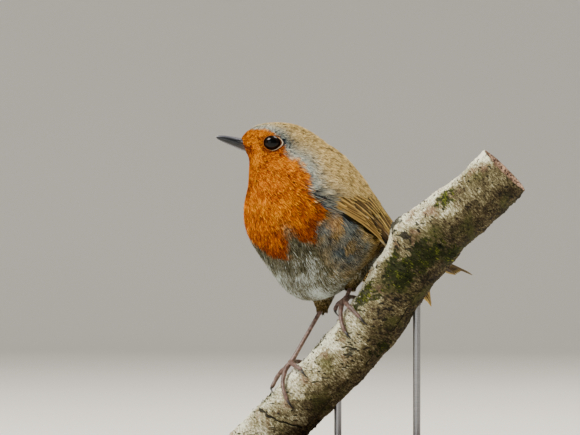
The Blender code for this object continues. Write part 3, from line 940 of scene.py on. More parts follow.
class Markings:
    """Where each colour of the plumage lies: shares of orange, grey and off-white."""

    # Upper edge of the orange, in degrees from the back, at every half station from the bill.
    ORANGE_TOP = (0.0, 0.0, 14.0, 33.0, 38.0, 43.0, 50.0, 58.0, 71.0, 78.0, 77.0, 83.0, 95.0,
                  99.0, 97.0, 93.0)
    # Station where the orange ends, at every 12 degrees round the body from 60.
    ORANGE_END = (7.0, 7.1, 7.2, 7.1, 7.1, 7.25, 7.6, 6.9, 7.35, 7.75, 7.6, 7.2, 6.9, 6.9, 7.0,
                  7.1, 7.0)
    # Stations, with the half width of the upper edge and how ragged it is, in degrees.
    EDGE = ((0.0, 3.0, 6.0, 13.0), (7.0, 4.0, 3.0, 3.0), (3.0, 2.0, 3.0, 3.0))
    # The notch that off-white cuts in the breast: station, angle, their reaches, and depth.
    NOTCH = (6.85, 144.0, 0.45, 5.0, 0.8)
    # Stations, with how many degrees the grey reaches from the orange.
    GREY = ((0.0, 1.5, 3.5, 5.0, 6.5, 8.0), (40, 30, 20, 22, 17, 12))
    # Stations, with the angle where the off-white starts.
    PALE = ((6.5, 8.0, 9.5, 11.0, 13.0), (120, 126, 126, 112, 90))
    # Rusty patch on the flank: station, angle, their reaches, and strength.
    RUSTY = (7.5, 104.0, 0.4, 8.0, 0.36)

    def __init__(self, form: BodyForm) -> None:
        """Fits the edges on a body."""
        self.form = form
        self.top, self.end = Curve(self.ORANGE_TOP), Curve(self.ORANGE_END)

    def zones(self, stations: Array, degrees: Array, soft: float = 1.0) -> Array:
        """Shares of orange, grey and off-white; what is left is olive-brown.

        Args:
            stations: Places along the body.
            degrees: Angles from the back.
            soft: Width of the edges, 1 for the coat.

        Returns:
            Three shares for each place.
        """
        stations, degrees = (grid.ravel() for grid in np.broadcast_arrays(stations, degrees))
        turn = degrees % 360.0
        aside = np.minimum(turn, 360.0 - turn)
        spots = self.form.points(stations, turn)
        ragged = ripples(spots, 5.0, 11) + 0.5 * ripples(spots, 2.0, 12)

        def patch(round_it: Array, station: float, angle: float, length: float, breadth: float,
                  strength: float) -> Array:
            """A bell at a station and an angle."""
            return strength * bump(stations, station, length) * bump(round_it, angle, breadth)

        top = self.top(stations * 2.0)
        width = soft * np.interp(stations, self.EDGE[0], self.EDGE[1])
        above = aside - top + ragged * np.interp(stations, self.EDGE[0], self.EDGE[2])
        past = stations - self.end((turn - 60.0) / 12.0) + 0.12 * ragged
        orange = smooth(-width, width, above) * smooth(0.14, -0.14, past)
        orange = orange * (1.0 - patch(turn, *self.NOTCH))
        bare = 1.0 - orange
        grey = bump(np.maximum(top - aside, 0.0), 0.0, np.interp(stations, *self.GREY)) * bare
        grey = grey * smooth(7.9, 7.1, stations + 0.2 * ragged) * smooth(103.0, 94.0, aside)
        pale = smooth(-11.0, 11.0, aside - np.interp(stations, *self.PALE) + 5.0 * ragged)
        pale = pale * bare * smooth(6.0, 6.6, stations)
        flank = smooth(6.9, 7.3, stations) * smooth(10.6, 9.0, stations)
        flank = flank * smooth(84.0, 92.0, aside) * smooth(136.0, 122.0, aside) * bare
        locks = 0.62 + 0.5 * ripples(spots, 11.0, 13) + 0.2 * ripples(spots, 4.0, 14)
        grey = np.maximum(grey, flank * np.clip(locks, 0.1, 1.0))
        orange = np.maximum(orange, patch(aside, *self.RUSTY))
        return stacked(orange, grey, pale * (1.0 - 0.5 * flank))


# --- Coat ------------------------------------------------------------------------------------

class Tract(Enum):
    """Tracts of the coat: first and last station, and angles from the back on either side."""

    FACE = (0.0, 2.6, 0.0, 180.0)
    CROWN = (2.6, 5.4, 0.0, 78.0)
    THROAT = (2.6, 5.4, 78.0, 180.0)
    MANTLE = (5.4, 9.0, 0.0, 78.0)
    BREAST_SIDES = (5.4, 7.6, 78.0, 140.0)
    BREAST_MIDDLE = (5.4, 7.6, 140.0, 180.0)
    FLANKS = (7.6, 10.2, 78.0, 132.0)
    BELLY = (7.6, 10.2, 132.0, 180.0)
    RUMP = (9.0, 13.0, 0.0, 78.0)
    VENT = (10.2, 13.0, 78.0, 180.0)


@dataclass(frozen=True)
class Cut:
    """How tufts are cut: blades in each, their half width in millimetres, how much further apart
    their tips are than their roots, and how far they roll about their middles."""

    blades: int = 6
    half_width: float = 0.26
    spread: float = 0.5
    roll: float = 0.55


@dataclass
class Roots:
    """Where tufts grow, and the size, lie and colour of each."""

    stations: Array
    degrees: Array
    length: Array
    width: Array
    depth: Array
    lift: Array
    drift: Array
    cover: Array
    tone: Array
    zones: Array

    def kept(self, keep: Array) -> "Roots":
        """Only the tufts that are marked True."""
        return Roots(**{name: values[keep] for name, values in vars(self).items()})


class Tufts:
    """Turns roots into solid blades that lie back over the form."""

    SAMPLES = 5
    RINGS = 4
    PATCH = 0.003
    STREAKS = 21
    MARGIN = 0.15
    # Step along the form and round it that measures its speed, and the least speed and span.
    STEP = 0.02
    LEAST_SPEED = 0.5
    LEAST_SPAN = 0.02

    def __init__(self, form: Form, perch: PerchForm, seed: int) -> None:
        """Keeps the form.

        Args:
            form: What the tufts grow on.
            perch: What they must not enter.
            seed: Seed of their unevenness.
        """
        self.form = form
        self.perch = perch
        self.random = np.random.default_rng(seed)

    def lines(self, roots: Roots) -> tuple[Array, Array, Array, Array]:
        """Middle lines of the tufts: P(u + t du, a + t da) at a height of
        cover - depth (1 - t)^1.3 + lift t^2.

        Args:
            roots: Where the tufts grow.

        Returns:
            Points, sideways and outward directions, and millimetres to a degree at each root.
        """
        form, t = self.form, np.linspace(0.0, 1.0, self.SAMPLES)[None]
        ahead = form.points(roots.stations + self.STEP, roots.degrees)
        speed = ahead - form.points(roots.stations, roots.degrees)
        speed = np.maximum(np.linalg.norm(speed, axis=1) / self.STEP, self.LEAST_SPEED)
        stations = roots.stations[:, None] + (roots.length / speed)[:, None] * t
        degrees = roots.degrees[:, None] + roots.drift[:, None] * t
        height = roots.cover[:, None] - roots.depth[:, None] * (1.0 - t) ** 1.3
        height = height + roots.lift[:, None] * t**2
        line = form.points(stations, degrees, height)
        beside = form.points(stations, degrees + 1.0, height) - line
        side = unit(beside)
        normal = unit(np.cross(side, unit(np.gradient(line, axis=1))))
        span = np.maximum(np.linalg.norm(beside[:, 0], axis=1), self.LEAST_SPAN)
        return line, side, normal, span

    def grow(self, roots: Roots, cut: Cut) -> Shape:
        """Makes the blades of every tuft. A blade is the tuft's line moved sideways by
        a + (b - a) t, with half width w (1 - t^2.2) and its two edges at different heights.

        Args:
            roots: Where the tufts grow.
            cut: How they are cut.

        Returns:
            The tufts in one shape.
        """
        count, blades, random = len(roots.stations), cut.blades, self.random
        size = (count, blades, 1)
        line, side, normal, span = self.lines(roots)
        width, length = roots.width[:, None, None], roots.length[:, None, None]
        first = np.linspace(-0.5, 0.5, blades) + random.uniform(-0.12, 0.12, (count, blades))
        last = first * (1.0 + cut.spread) + random.uniform(-0.16, 0.16, (count, blades))
        begin = random.uniform(0.0, 0.22, size)
        finish = random.uniform(0.78, 1.0, size) * (1.0 - 0.22 * first[..., None] ** 2)
        step = np.linspace(0.0, 1.0, self.RINGS)
        share = begin + (finish - begin) * step
        place = share * (self.SAMPLES - 1.0)
        low = np.minimum(place.astype(int), self.SAMPLES - 2)
        part, tuft = (place - low)[..., None], np.arange(count)[:, None, None]
        line, side, normal = (grid[tuft, low] * (1.0 - part) + grid[tuft, low + 1] * part
                              for grid in (line, side, normal))
        across = (first[..., None] + (last - first)[..., None] * share) * width
        sway = random.uniform(-0.1, 0.1, (count, 1, 1)) * share * length
        half = cut.half_width * random.uniform(0.75, 1.25, size)
        half = half * width / roots.width.mean() * (1.0 - step**2.2)
        roll = random.uniform(-1.0, 1.0, size) * cut.roll
        rise = random.uniform(-0.12, 0.12, size) + 0.25 * roots.lift[:, None, None] * share
        centre = line + side * (across + sway)[..., None] + normal * rise[..., None]
        edge = side * half[..., None] + normal * (half * roll)[..., None]
        pair = np.stack([centre - edge, centre + edge], axis=3)[:, :, :-1]
        blade = np.concatenate([pair.reshape(count, blades, -1, 3), centre[:, :, -1:]], axis=2)

        def at_corners(grid: Array) -> Array:
            """Numbers of a blade's rings, given to both edges of each and once to its tip."""
            return np.concatenate([np.repeat(grid[:, :, :-1], 2, axis=2), grid[:, :, -1:]], axis=2)

        reach, inner = at_corners(share), at_corners(across) / width
        turn = roots.degrees[:, None] + first * roots.width[:, None] / span[:, None]
        strong = 0.08 + 0.16 * (roots.zones[:, 0] + roots.zones[:, 2])
        streak = strong[:, None] * streaks(roots.stations[:, None], turn, self.STREAKS)
        tone = roots.tone[:, None, None] + random.normal(0.0, 0.1, size) + streak[..., None]
        edges = np.concatenate([np.tile([-1.0, 1.0], self.RINGS - 1), [0.0]])
        zones = np.broadcast_to(roots.zones[:, None, None], blade.shape)
        marks = {"zones": zones.reshape(-1, 3),
                 "strand": stacked(reach, tone, edges).reshape(-1, 3)}
        spot = self.form.unwrap(roots.stations, roots.degrees)[:, None, None]
        uv = spot + self.PATCH * np.stack([0.6 * inner, reach - 0.5], axis=-1)
        return Shape(self.perch.cleared(blade.reshape(-1, 3), self.MARGIN),
                     self.faces(count * blades, blade.shape[2]), marks,
                     np.clip(uv.reshape(-1, 2), 0.001, 0.999))

    @staticmethod
    def faces(blades: int, corners: int) -> list[Array]:
        """Faces of blades: pairs of corners up to a tip.

        Args:
            blades: How many blades.
            corners: Corners in each.

        Returns:
            Quads, and the triangles at the tips.
        """
        base = np.arange(blades)[:, None] * corners
        quads = [base + np.array([k, k + 1, k + 3, k + 2]) for k in range(0, corners - 3, 2)]
        return [np.concatenate(quads), base + np.arange(corners - 3, corners)]


@dataclass
class Coat:
    """The body's coat, tract by tract."""

    form: BodyForm
    perch: PerchForm
    markings: Markings
    finish: bpy.types.Material
    wing_rows: Sequence[tuple[float, float, float, float, float]]
    # Along the stations 0 to 13: tuft length, coat depth, tufts to a square millimetre, and how
    # loosely they lie.
    LENGTH = (0.9, 1.2, 1.6, 2.3, 3.2, 4.0, 4.8, 5.6, 6.2, 6.6, 6.8, 7.0, 8.0, 8.0)
    DEPTH = (0.3, 0.45, 0.6, 0.8, 1.1, 1.4, 1.7, 1.9, 2.0, 2.0, 1.8, 1.4, 0.9, 0.4)
    DENSITY = (7.0, 6.0, 5.0, 4.0, 3.0, 2.2, 1.7, 1.5, 1.4, 1.3, 1.2, 1.1, 1.1, 1.4)
    LOOSE = (0.1, 0.2, 0.3, 0.5, 0.7, 0.9, 1.0, 1.0, 1.0, 1.0, 1.0, 0.8, 0.5, 0.2)
    # Steps in which a tract is measured, and the golden share that spaces its tufts.
    STEPS = 90
    GOLDEN = 0.6180339887
    # Last station of the head, where tufts are shorter within these distances of the eye, in eye
    # sizes, and how near a tuft may come to it.
    HEAD_END = 4.2
    EYE_EDGE = (1.1, 2.4)
    EYE_BARE = 1.13
    # How deep in the perch a tuft's tip may point before it is left out.
    IN_PERCH = 3.0
    # Shares across the wing, and the stations where its small feathers give way to coverts.
    COVER_END = ((0.0, 0.1, 0.2, 0.35, 0.55, 0.8, 1.0), (6.5, 6.35, 6.5, 6.9, 7.65, 8.6, 9.2))
    WING_END = 9.2
    # The first row below is painted shade on the flank under the wing; the others are head
    # markings.
    # Lighter and darker places: strength, station, its reach, angle, its reach.
    MARKS_AND_SHADE = ((-0.4, 8.7, 1.7, 108.0, 21.0), (-0.17, 3.9, 0.5, 57.0, 9.0),
              (0.12, 4.3, 0.6, 77.0, 9.0))
    # Painted shade in bands under the body: strength, station, its reach, and the angles where they
    # begin.
    UNDERSIDE_SHADE = ((-0.24, 7.2, 1.0, 105.0, 130.0), (-0.1, 6.9, 0.8, 100.0, 125.0))
    # A few feathers of the back are darker: their share, and how much.
    DARK_SHARE = 0.07
    DARKER = 0.3
    CUTS = {Tract.FACE: Cut(4, 0.11, 0.35, 0.5), Tract.CROWN: Cut(5, 0.16, 0.4, 0.5),
            Tract.THROAT: Cut(5, 0.17, 0.4, 0.5)}

    @staticmethod
    def along(values: Sequence[float], stations: Array) -> Array:
        """Reads one of the rows above at stations."""
        return np.interp(stations, np.arange(len(values)), values)

    def near_eye(self, stations: Array, reach: Array) -> Array:
        """0 at the eye's rim to 1 away from it, and 1 behind the head."""
        return np.where(stations < self.HEAD_END, smooth(*self.EYE_EDGE, reach), 1.0)

    def depth(self, stations: Array, near_eye: Array) -> Array:
        """Depth of the coat, which thins out to about a third at the eye's rim."""
        return self.along(self.DEPTH, stations) * (0.35 + 0.65 * near_eye)

    def scatter(self, tract: Tract, seed: int) -> tuple[Array, Array]:
        """Even but irregular roots: shares of a spiral sequence put through the tract's
        cumulative sums of area times density, along it and then across it.

        Args:
            tract: The tract.
            seed: Seed of the jitter.

        Returns:
            Stations and angles.
        """
        first, last, near, far = tract.value
        random = np.random.default_rng(seed)
        top = self.STEPS - 1.0
        u, v = np.linspace(first, last, self.STEPS), np.linspace(near, far, self.STEPS)
        found = []
        for side in (1.0, -1.0):
            spots = self.form.points(u[:, None], side * v[None])
            down, across = (np.linalg.norm(np.gradient(spots, axis=k), axis=2) for k in (0, 1))
            weight = down * across * self.along(self.DENSITY, u)[:, None]
            count = int(weight.sum())
            rows = np.concatenate([[0.0], np.cumsum(weight.sum(axis=1))])
            turns = np.arange(count)
            pick = (turns + random.uniform(0.2, 0.8, count)) / count
            row = np.interp(pick * rows[-1], rows, np.arange(len(rows))) - 0.5
            whole = np.clip(row.round().astype(int), 0, self.STEPS - 1)
            columns = np.cumsum(weight, axis=1)
            columns = columns / columns[:, -1:]
            share = (turns * self.GOLDEN + random.uniform(-0.1, 0.1, count)) % 1.0
            place = (columns[whole] < share[:, None]).sum(axis=1) + random.uniform(-0.5, 0.5, count)
            found.append((first + np.clip(row, 0.0, top) * ((last - first) / top),
                          side * np.clip(near + place * ((far - near) / top), near, far)))
        return tuple(np.concatenate(part) for part in zip(*found))

    def wing_place(self, stations: Array, aside: Array) -> Array:
        """How far across the folded wing a place is: 0 on its lower edge and 1 on its upper.

        Args:
            stations: Places along the body.
            aside: Angles from the back, on either side.

        Returns:
            The shares, far outside 0 to 1 away from the wing.
        """
        rows = np.asarray(self.wing_rows)
        low, high = (np.interp(stations, rows[:, 0], rows[:, k]) for k in (1, 2))
        return (aside - low) / (high - low)

    def roots(self, tract: Tract, seed: int) -> Roots:
        """Plants a tract: sizes, lie and colour of each tuft, without those that would grow in
        the eyes, on the bill, under the wings or inside the perch.

        Args:
            tract: The tract.
            seed: Seed of the unevenness.

        Returns:
            The tufts' roots.
        """
        random = np.random.default_rng(seed)
        u, v = self.scatter(tract, seed + 100)
        count, aside, side = len(u), np.abs(v), np.sign(v)
        spots = self.form.points(u, v)
        reach, patches = self.form.opening(spots), ripples(spots, 9.0, 31)
        near_eye, place = self.near_eye(u, reach), self.wing_place(u, aside)
        on_wing = smooth(-0.08, 0.1, place) * smooth(1.9, 1.0, place) * smooth(4.5, 6.4, u)
        under = bump(u, 11.3, 0.9) * smooth(70.0, 115.0, aside)
        loose = bump(u, 6.4, 0.8) * bump(aside, 92.0, 12.0)
        flank = bump(u, 8.4, 1.3) * bump(aside, 108.0, 18.0)
        length = self.along(self.LENGTH, u) * random.uniform(0.8, 1.2, count)
        length = length * (0.45 + 0.55 * near_eye)
        depth = self.depth(u, near_eye)
        depth = depth + (0.75 - depth) * on_wing
        cover = 2.1 * on_wing * smooth(10.2, 9.2, u) + 2.4 * under
        cover = cover + 1.2 * smooth(7.6, 8.8, u) * on_wing * smooth(0.3, 0.9, place)
        lift = 0.25 + 0.5 * loose + 0.55 * flank * (0.6 + 0.6 * patches)
        lift = lift * self.along(self.LOOSE, u) * random.uniform(0.4, 1.7, count)
        lift = lift + under * random.uniform(0.0, 1.0, count)
        length = length * (1.0 + 0.35 * loose + 0.2 * flank)
        drift = random.normal(0.0, 2.5, count) - side * 14.0 * loose * smooth(7.2, 6.6, u)
        drift = drift + side * 6.0 * patches * flank
        turned = v + 0.75 * drift + random.normal(0.0, 1.0, count)
        zones = self.markings.zones(u + 0.55 * length / 7.0, turned)
        tone = self.tone(u, aside, spots, patches, random)
        roots = Roots(u, v, length, 0.42 * length**0.8, depth, lift, drift, cover, tone, zones)
        tip = self.form.points(u + 0.9 * length / 6.0, v)
        reach = np.minimum(reach, self.form.opening(tip))
        in_eye = (u < self.HEAD_END) & (reach < self.EYE_BARE)
        hidden = (place > -0.02) & (place < 1.0) & (u < self.WING_END)
        hidden = hidden & (u > np.interp(place, *self.COVER_END))
        return roots.kept(~in_eye & ~hidden & (self.perch.depth(tip)[0] < self.IN_PERCH))

    def tone(self, u: Array, aside: Array, spots: Array, patches: Array,
             random: np.random.Generator) -> Array:
        """How light each tuft is, 0.5 being middling, with painted shade on the flank and under the
        body.

        Args:
            u: Stations.
            aside: Angles from the back, on either side.
            spots: The same places as points.
            patches: Broad unevenness at each.
            random: Draws each tuft's own tone.

        Returns:
            The tones.
        """
        back = smooth(100.0, 60.0, aside)
        tone = 0.5 + random.normal(0.0, 0.07, len(u)) + (0.09 - 0.08 * back) * patches
        tone = tone + (0.08 - 0.06 * back) * ripples(spots, 3.0, 32) + 0.06 * back
        tone = tone - self.DARKER * (random.uniform(0.0, 1.0, len(u)) < self.DARK_SHARE) * back
        # Painted shade on the flank, and the head's darker and paler markings.
        for strength, station, length, angle, breadth in self.MARKS_AND_SHADE:
            tone = tone + strength * bump(u, station, length) * bump(aside, angle, breadth)
        # Painted shade under the body.
        for strength, station, length, first, last in self.UNDERSIDE_SHADE:
            tone = tone + strength * bump(u, station, length) * smooth(first, last, aside)
        belly = smooth(7.2, 7.8, u) * bump(aside, 158.0, 17.0) * (0.5 + 0.8 * patches)
        lores = smooth(1.9, 0.9, u) * bump(aside, 99.0, 8.0)
        return tone + 0.3 * belly + 0.13 * smooth(3.4, 2.4, u) - 0.45 * lores

    def build(self) -> None:
        """Grows and dresses every tract."""
        for number, tract in enumerate(Tract):
            tufts = Tufts(self.form, self.perch, 300 + number)
            shape = tufts.grow(self.roots(tract, 200 + number), self.CUTS.get(tract, Cut()))
            add_piece(f"coat_{tract.name.lower()}", shape, self.finish)


# --- Legs, skin, eyes and bill ---------------------------------------------------------------

Joints = Sequence[tuple[float, float, float]]


@dataclass
class Leg:
    """A leg: feathered thigh, scaled tarsus, four toes that hold the perch, and their claws."""

    side: str
    perch: PerchForm
    along: float
    hip: Array
    ankle: Array
    toes: dict[str, Joints]
    strip: float
    # Radii of tarsus, toe, foot pad and claw, and lengths of the scutes on tarsus and toe.
    TARSUS = 0.85
    TOE = 0.84
    PAD = 1.35
    CLAW = 0.6
    SCUTE = 1.5
    TOE_SCUTE = 0.75
    # How far toes and claws stay off the bark, and the foot's middle over it.
    GAP = 0.3
    CLAW_GAP = 0.42
    FOOT = 2.4
    # How far a claw swings round the perch, how far it bows out, and where its tip touches.
    CLAW_SWEEP = 20.0
    CLAW_BOW = 1.05
    CLAW_BACK = 0.5
    # Tufts on the thigh, and the angle from one to the next.
    TUFTS = 900
    SPIRAL = 137.5077
    # Rings and sides of tarsus, toe, foot pad and claw.
    TARSUS_GRID = (110, 20)
    TOE_GRID = (80, 18)
    PAD_GRID = (18, 24)
    CLAW_GRID = (26, 14)

    def root(self) -> Array:
        """Middle of the foot, over the perch."""
        return self.perch.points(np.array([self.along]), np.array([0.0]), self.FOOT)[0]

    def thigh(self) -> ThighForm:
        """The feathered part."""
        return ThighForm(self.hip, self.ankle, self.strip)

    def line(self, toe: str) -> Array:
        """Middle line of a toe over the perch, from the foot through its joints.

        Args:
            toe: Name of the toe.

        Returns:
            Points of the line.
        """
        joints = np.array(self.toes[toe])
        lift = self.TOE + self.GAP + joints[:, 2]
        points = np.vstack([self.root(), self.perch.points(joints[:, 0], joints[:, 1], lift)])
        return Curve(points)(np.linspace(0.0, len(points) - 1.0, 60))

    @staticmethod
    def scaled(path: Array, radii: Array, sides: int, scute: float) -> Shape:
        """A tube whose skin overlaps in scutes: each swells from its start and drops at its end.

        Args:
            path: Middle line.
            radii: Radius at each point.
            sides: Points in a ring.
            scute: Length of a scute.

        Returns:
            The closed shape.
        """
        run = lengths(path)[:, None]
        phase = (run / scute) % 1.0
        front = 0.5 + 0.5 * np.cos(around(sides) - 0.6)[None]
        raised = 0.09 * (phase**1.5 - 0.4) * front**0.5
        rings = tube(path, radii[:, None] + raised, sides)
        groove = (np.abs(phase - 0.5) * 2.0) ** 6 * front
        return Shape.lofted(rings, {"zones": np.zeros(rings.shape),
                                    "strand": stacked(groove, 0.5, run)})

    def shapes(self) -> list[Shape]:
        """Tarsus, foot and toes, each closed, for the skin to join.

        Returns:
            The shapes.
        """
        root = self.root()
        knee = self.ankle - 1.2 * unit(root - self.ankle)
        rows, sides = self.TARSUS_GRID
        radii = self.TARSUS + 0.32 * np.abs(2.0 * np.linspace(0.0, 1.0, rows) - 1.0) ** 5
        parts = [self.scaled(np.linspace(knee, root, rows), radii, sides, self.SCUTE)]
        rows, sides = self.PAD_GRID
        polar = np.linspace(0.05, math.pi - 0.05, rows)
        ball = tube(root + self.PAD * np.cos(polar)[:, None] * UP, self.PAD * np.sin(polar), sides)
        parts.append(Shape.lofted(ball, {"zones": np.zeros(ball.shape),
                                         "strand": np.full(ball.shape, 0.3)}))
        rows, sides = self.TOE_GRID
        share = np.linspace(0.0, 1.0, rows)
        for toe, joints in self.toes.items():
            rough = self.line(toe)
            run = lengths(rough)
            line = between(np.linspace(0.0, run[-1], rows), run, rough)
            pads = 0.14 * np.abs(np.sin(math.pi * share * len(joints)))
            slim = self.TOE * (1.1 - 0.3 * share) + pads
            slim = slim * (1.0 - 0.25 * smooth(0.93, 1.0, share))
            parts.append(self.scaled(line, slim, sides, self.TOE_SCUTE))
        return parts

    def claw(self, toe: str) -> Shape:
        """A curved claw: a tube that bows out from the toe's end and narrows to the perch.

        Args:
            toe: Name of the toe.

        Returns:
            The closed shape.
        """
        line = self.line(toe)
        along, degrees, _ = self.toes[toe][-1]
        turn = 1.0 if degrees > 0.0 else -1.0
        round_it = degrees + turn * np.array([self.CLAW_SWEEP, 8.0, 8.0])
        spots = self.perch.points(along - np.array([self.CLAW_BACK, 0.0, 0.0]), round_it,
                                  np.array([self.CLAW_GAP, 5.0, 0.0]))
        touch, outward = spots[0], unit(spots[1] - spots[2])
        start = line[-1] - unit(line[-1] - line[-2]) * 0.4
        middle = (start + touch) / 2.0 + outward * self.CLAW_BOW
        rows, sides = self.CLAW_GRID
        share = np.linspace(0.0, 1.0, rows)
        rings = tube(Curve([start, middle, touch])(2.0 * share),
                     self.CLAW * (1.0 - 0.88 * share**1.3), sides)
        return Shape.lofted(rings, {"strand": stacked(share[:, None], 0.5, np.zeros((1, sides)))})

    def dress(self, plumage: bpy.types.Material) -> None:
        """Adds the thigh's tufts, which point down the leg, in the finish of the plumage."""
        random, count = np.random.default_rng(91 + len(self.side)), self.TUFTS
        stations = random.uniform(0.12, 1.0, count)
        degrees = (np.arange(count) * self.SPIRAL) % 360.0
        length = 3.6 - 1.6 * stations + random.normal(0.0, 0.3, count)
        low = smooth(0.55, 1.0, stations)
        tone = 0.42 - 0.3 * low + random.normal(0.0, 0.1, count)
        width, lift, none = np.full(count, 1.1), np.full(count, 0.25), np.zeros(count)
        roots = Roots(stations, degrees, length, width, 0.9 - 0.35 * stations, lift,
                      random.normal(0.0, 8.0, count), none, tone,
                      stacked(none, none, 0.75 - 0.7 * low))
        tufts = Tufts(self.thigh(), self.perch, 92).grow(roots, Cut(5, 0.2, 0.2, 0.5))
        add_piece(f"coat_thigh_{self.side}", tufts, plumage)

    def arm(self, horn: bpy.types.Material) -> None:
        """Adds the claws, in the finish of horn."""
        for toe in self.toes:
            name = f"{self.side}_{toe}"
            add_piece(f"talon_{name}", self.claw(toe), horn, [f"claw_{name}"])


@dataclass
class Skin:
    """One skin: body with dips for the eyes, lids, thighs, tarsi, feet and toes joined."""

    form: BodyForm
    perch: PerchForm
    coat: Coat
    legs: Sequence[Leg]
    LID = 0.115
    LID_TURNS = 120
    LID_SIDES = 16
    LID_FLAT = (1.25, 0.75)
    # Depth of the thigh's coat at the hip, and how much less it is at the ankle.
    THIGH_DEPTH = 0.9
    THIGH_LESS = 0.2
    # Rings and sides of the body and of a thigh. Half of the body's rings lie on the head, which
    # ends at a station.
    BODY_GRID = (110, 144)
    THIGH_GRID = (40, 40)
    HEAD_END = 4.6

    def body(self) -> Shape:
        """The body's form, smaller by the depth of the coat.

        Returns:
            The closed shape.
        """
        rows, sides = self.BODY_GRID
        head = np.linspace(0.0, self.HEAD_END, rows)
        trunk = np.linspace(self.HEAD_END, self.form.LAST, rows)
        stations = np.concatenate([head, trunk[1:]])[:, None]
        degrees = np.linspace(0.0, 360.0, sides, endpoint=False)[None]
        reach = self.form.opening(self.form.points(stations, degrees))
        depth = self.coat.depth(stations, self.coat.near_eye(stations, reach))
        points = self.perch.cleared(self.form.points(stations, degrees, -depth), 0.1)
        zones = self.coat.markings.zones(stations, degrees, 1.5).reshape(points.shape)
        # Marked as feather roots, so the skin in the gaps gets the plumage's painted shade.
        strand = np.broadcast_to([0.15, 0.4, 0.0], points.shape)
        return Shape.lofted(points, {"zones": zones, "strand": strand})

    def lid(self, side: float) -> Shape:
        """The ring of the lids: a flattened, uneven tube round the opening of one eye.

        Args:
            side: -1 for the left eye and 1 for the right.

        Returns:
            The closed ring.
        """
        form = self.form
        turn, angle = around(self.LID_TURNS)[:, None], around(self.LID_SIDES)[None]
        wide = self.LID * (1.0 + 1.6 * np.maximum(np.cos(turn + 0.1), 0.0) ** 8
                           + 0.5 * np.maximum(np.cos(turn + 1.3), 0.0) ** 3)
        wide = wide * (1.0 + 0.08 * np.sin(29.0 * turn) + 0.06 * np.sin(47.0 * turn + 3.0 * angle))
        reach = 1.05 * form.corner(turn)
        grown = self.LID_FLAT[0] * wide * np.cos(angle)
        x = form.eye[0] + (form.EYE_SIZE[0] * reach + grown) * np.cos(turn)
        z = form.eye[2] + (form.EYE_SIZE[1] * reach + grown) * np.sin(turn)
        out = form.rim + 0.1 + self.LID_FLAT[1] * wide * np.sin(angle)
        behind = smooth(-0.1, 0.8, np.cos(turn + 0.5))
        inner = smooth(-0.2, -0.75, np.cos(angle))
        tone = 0.3 + 0.36 * behind
        zones = stacked(0.75 - 0.55 * behind, np.zeros_like(x), 0.1 + 0.7 * behind)
        strand = stacked(1.0 - inner, tone - 0.9 * tone * inner, 0.0)
        points = stacked(x, form.head_middle + side * out, z)
        return Shape.ringed(points, {"zones": zones, "strand": strand})

    def thigh(self, leg: Leg) -> Shape:
        """The skin of one thigh, smaller by the depth of its coat.

        Args:
            leg: The leg.

        Returns:
            The closed shape.
        """
        rows, sides = self.THIGH_GRID
        stations = np.linspace(0.0, 1.0, rows)[:, None]
        degrees = np.linspace(0.0, 360.0, sides, endpoint=False)[None]
        depth = self.THIGH_DEPTH - self.THIGH_LESS * stations
        points = leg.thigh().points(stations, degrees, -depth)
        # Marked as feather roots, so the thigh's skin gets the plumage's painted shade.
        return Shape.lofted(points, {"zones": np.broadcast_to([0.0, 0.0, 0.4], points.shape),
                                     "strand": np.broadcast_to([0.15, 0.3, 0.0], points.shape)})

    def build(self, plumage: bpy.types.Material, scales: bpy.types.Material) -> None:
        """Joins the closed shapes into one skin.

        Args:
            plumage: Finish of body, lids and thighs.
            scales: Finish of tarsi, feet and toes.
        """
        soft = [self.body(), self.lid(-1.0), self.lid(1.0)] + [self.thigh(leg) for leg in self.legs]
        hard = [shape for leg in self.legs for shape in leg.shapes()]
        objects = []
        for number, shape in enumerate(soft + hard):
            mesh = shape.mesh(f"skin_part_{number}")
            mesh.materials.append(plumage)
            mesh.materials.append(scales)
            bare = int(number >= len(soft))
            mesh.polygons.foreach_set("material_index", np.full(len(mesh.polygons), bare))
            objects.append(add_object(mesh.name, mesh))
        for part in objects[1:]:
            step = objects[0].modifiers.new(part.name, "BOOLEAN")
            step.operation = "UNION"
            step.solver = "MANIFOLD"
            step.object = part
        bpy.context.view_layer.update()
        joined = objects[0].evaluated_get(bpy.context.evaluated_depsgraph_get())
        mesh = bpy.data.meshes.new_from_object(joined)
        mesh.name = "skin"
        for part in objects:
            bpy.data.objects.remove(part, do_unlink=True)
        nodes = ["head", "neck", "trunk"]
        for leg in self.legs:
            nodes += [f"{part}_{leg.side}" for part in ("thigh", "tarsus", "foot")]
            nodes += [f"toe_{leg.side}_{toe}" for toe in leg.toes]
        add_piece("skin", mesh, nodes=nodes)


@dataclass
class Eye:
    """One eyeball: an upright oval globe whose middle lies inside the head, so that the lids'
    plane cuts it in the opening's outline."""

    form: BodyForm
    DEPTH = 3.0
    OUT = 6.2
    BACK = 0.1
    RINGS = 56
    SIDES = 72

    def build(self, side: str, sign: float, finish: bpy.types.Material) -> None:
        """Makes an oval globe: (a cos t sin p, d cos p, b sin t sin p).

        Args:
            side: Which eye it is, by name.
            sign: -1 for the left eye and 1 for the right.
            finish: Its material.
        """
        form = self.form
        narrowing = math.sqrt(1.0 - ((form.rim - self.OUT) / self.DEPTH) ** 2)
        long, high = (size / narrowing for size in form.EYE_SIZE)
        polar = np.linspace(0.02, math.pi - 0.02, self.RINGS)[:, None]
        turn = around(self.SIDES)[None]
        x = form.eye[0] + self.BACK + long * np.cos(turn) * np.sin(polar)
        z = form.eye[2] + high * np.sin(turn) * np.sin(polar)
        y = form.head_middle + sign * (self.OUT + self.DEPTH * np.cos(polar))
        strand = stacked(np.sin(polar), np.cos(polar), np.zeros_like(turn))
        shape = Shape.lofted(stacked(x, y, z), {"strand": strand})
        add_piece(f"eyeball_{side}", shape, finish, [f"eye_{side}"])


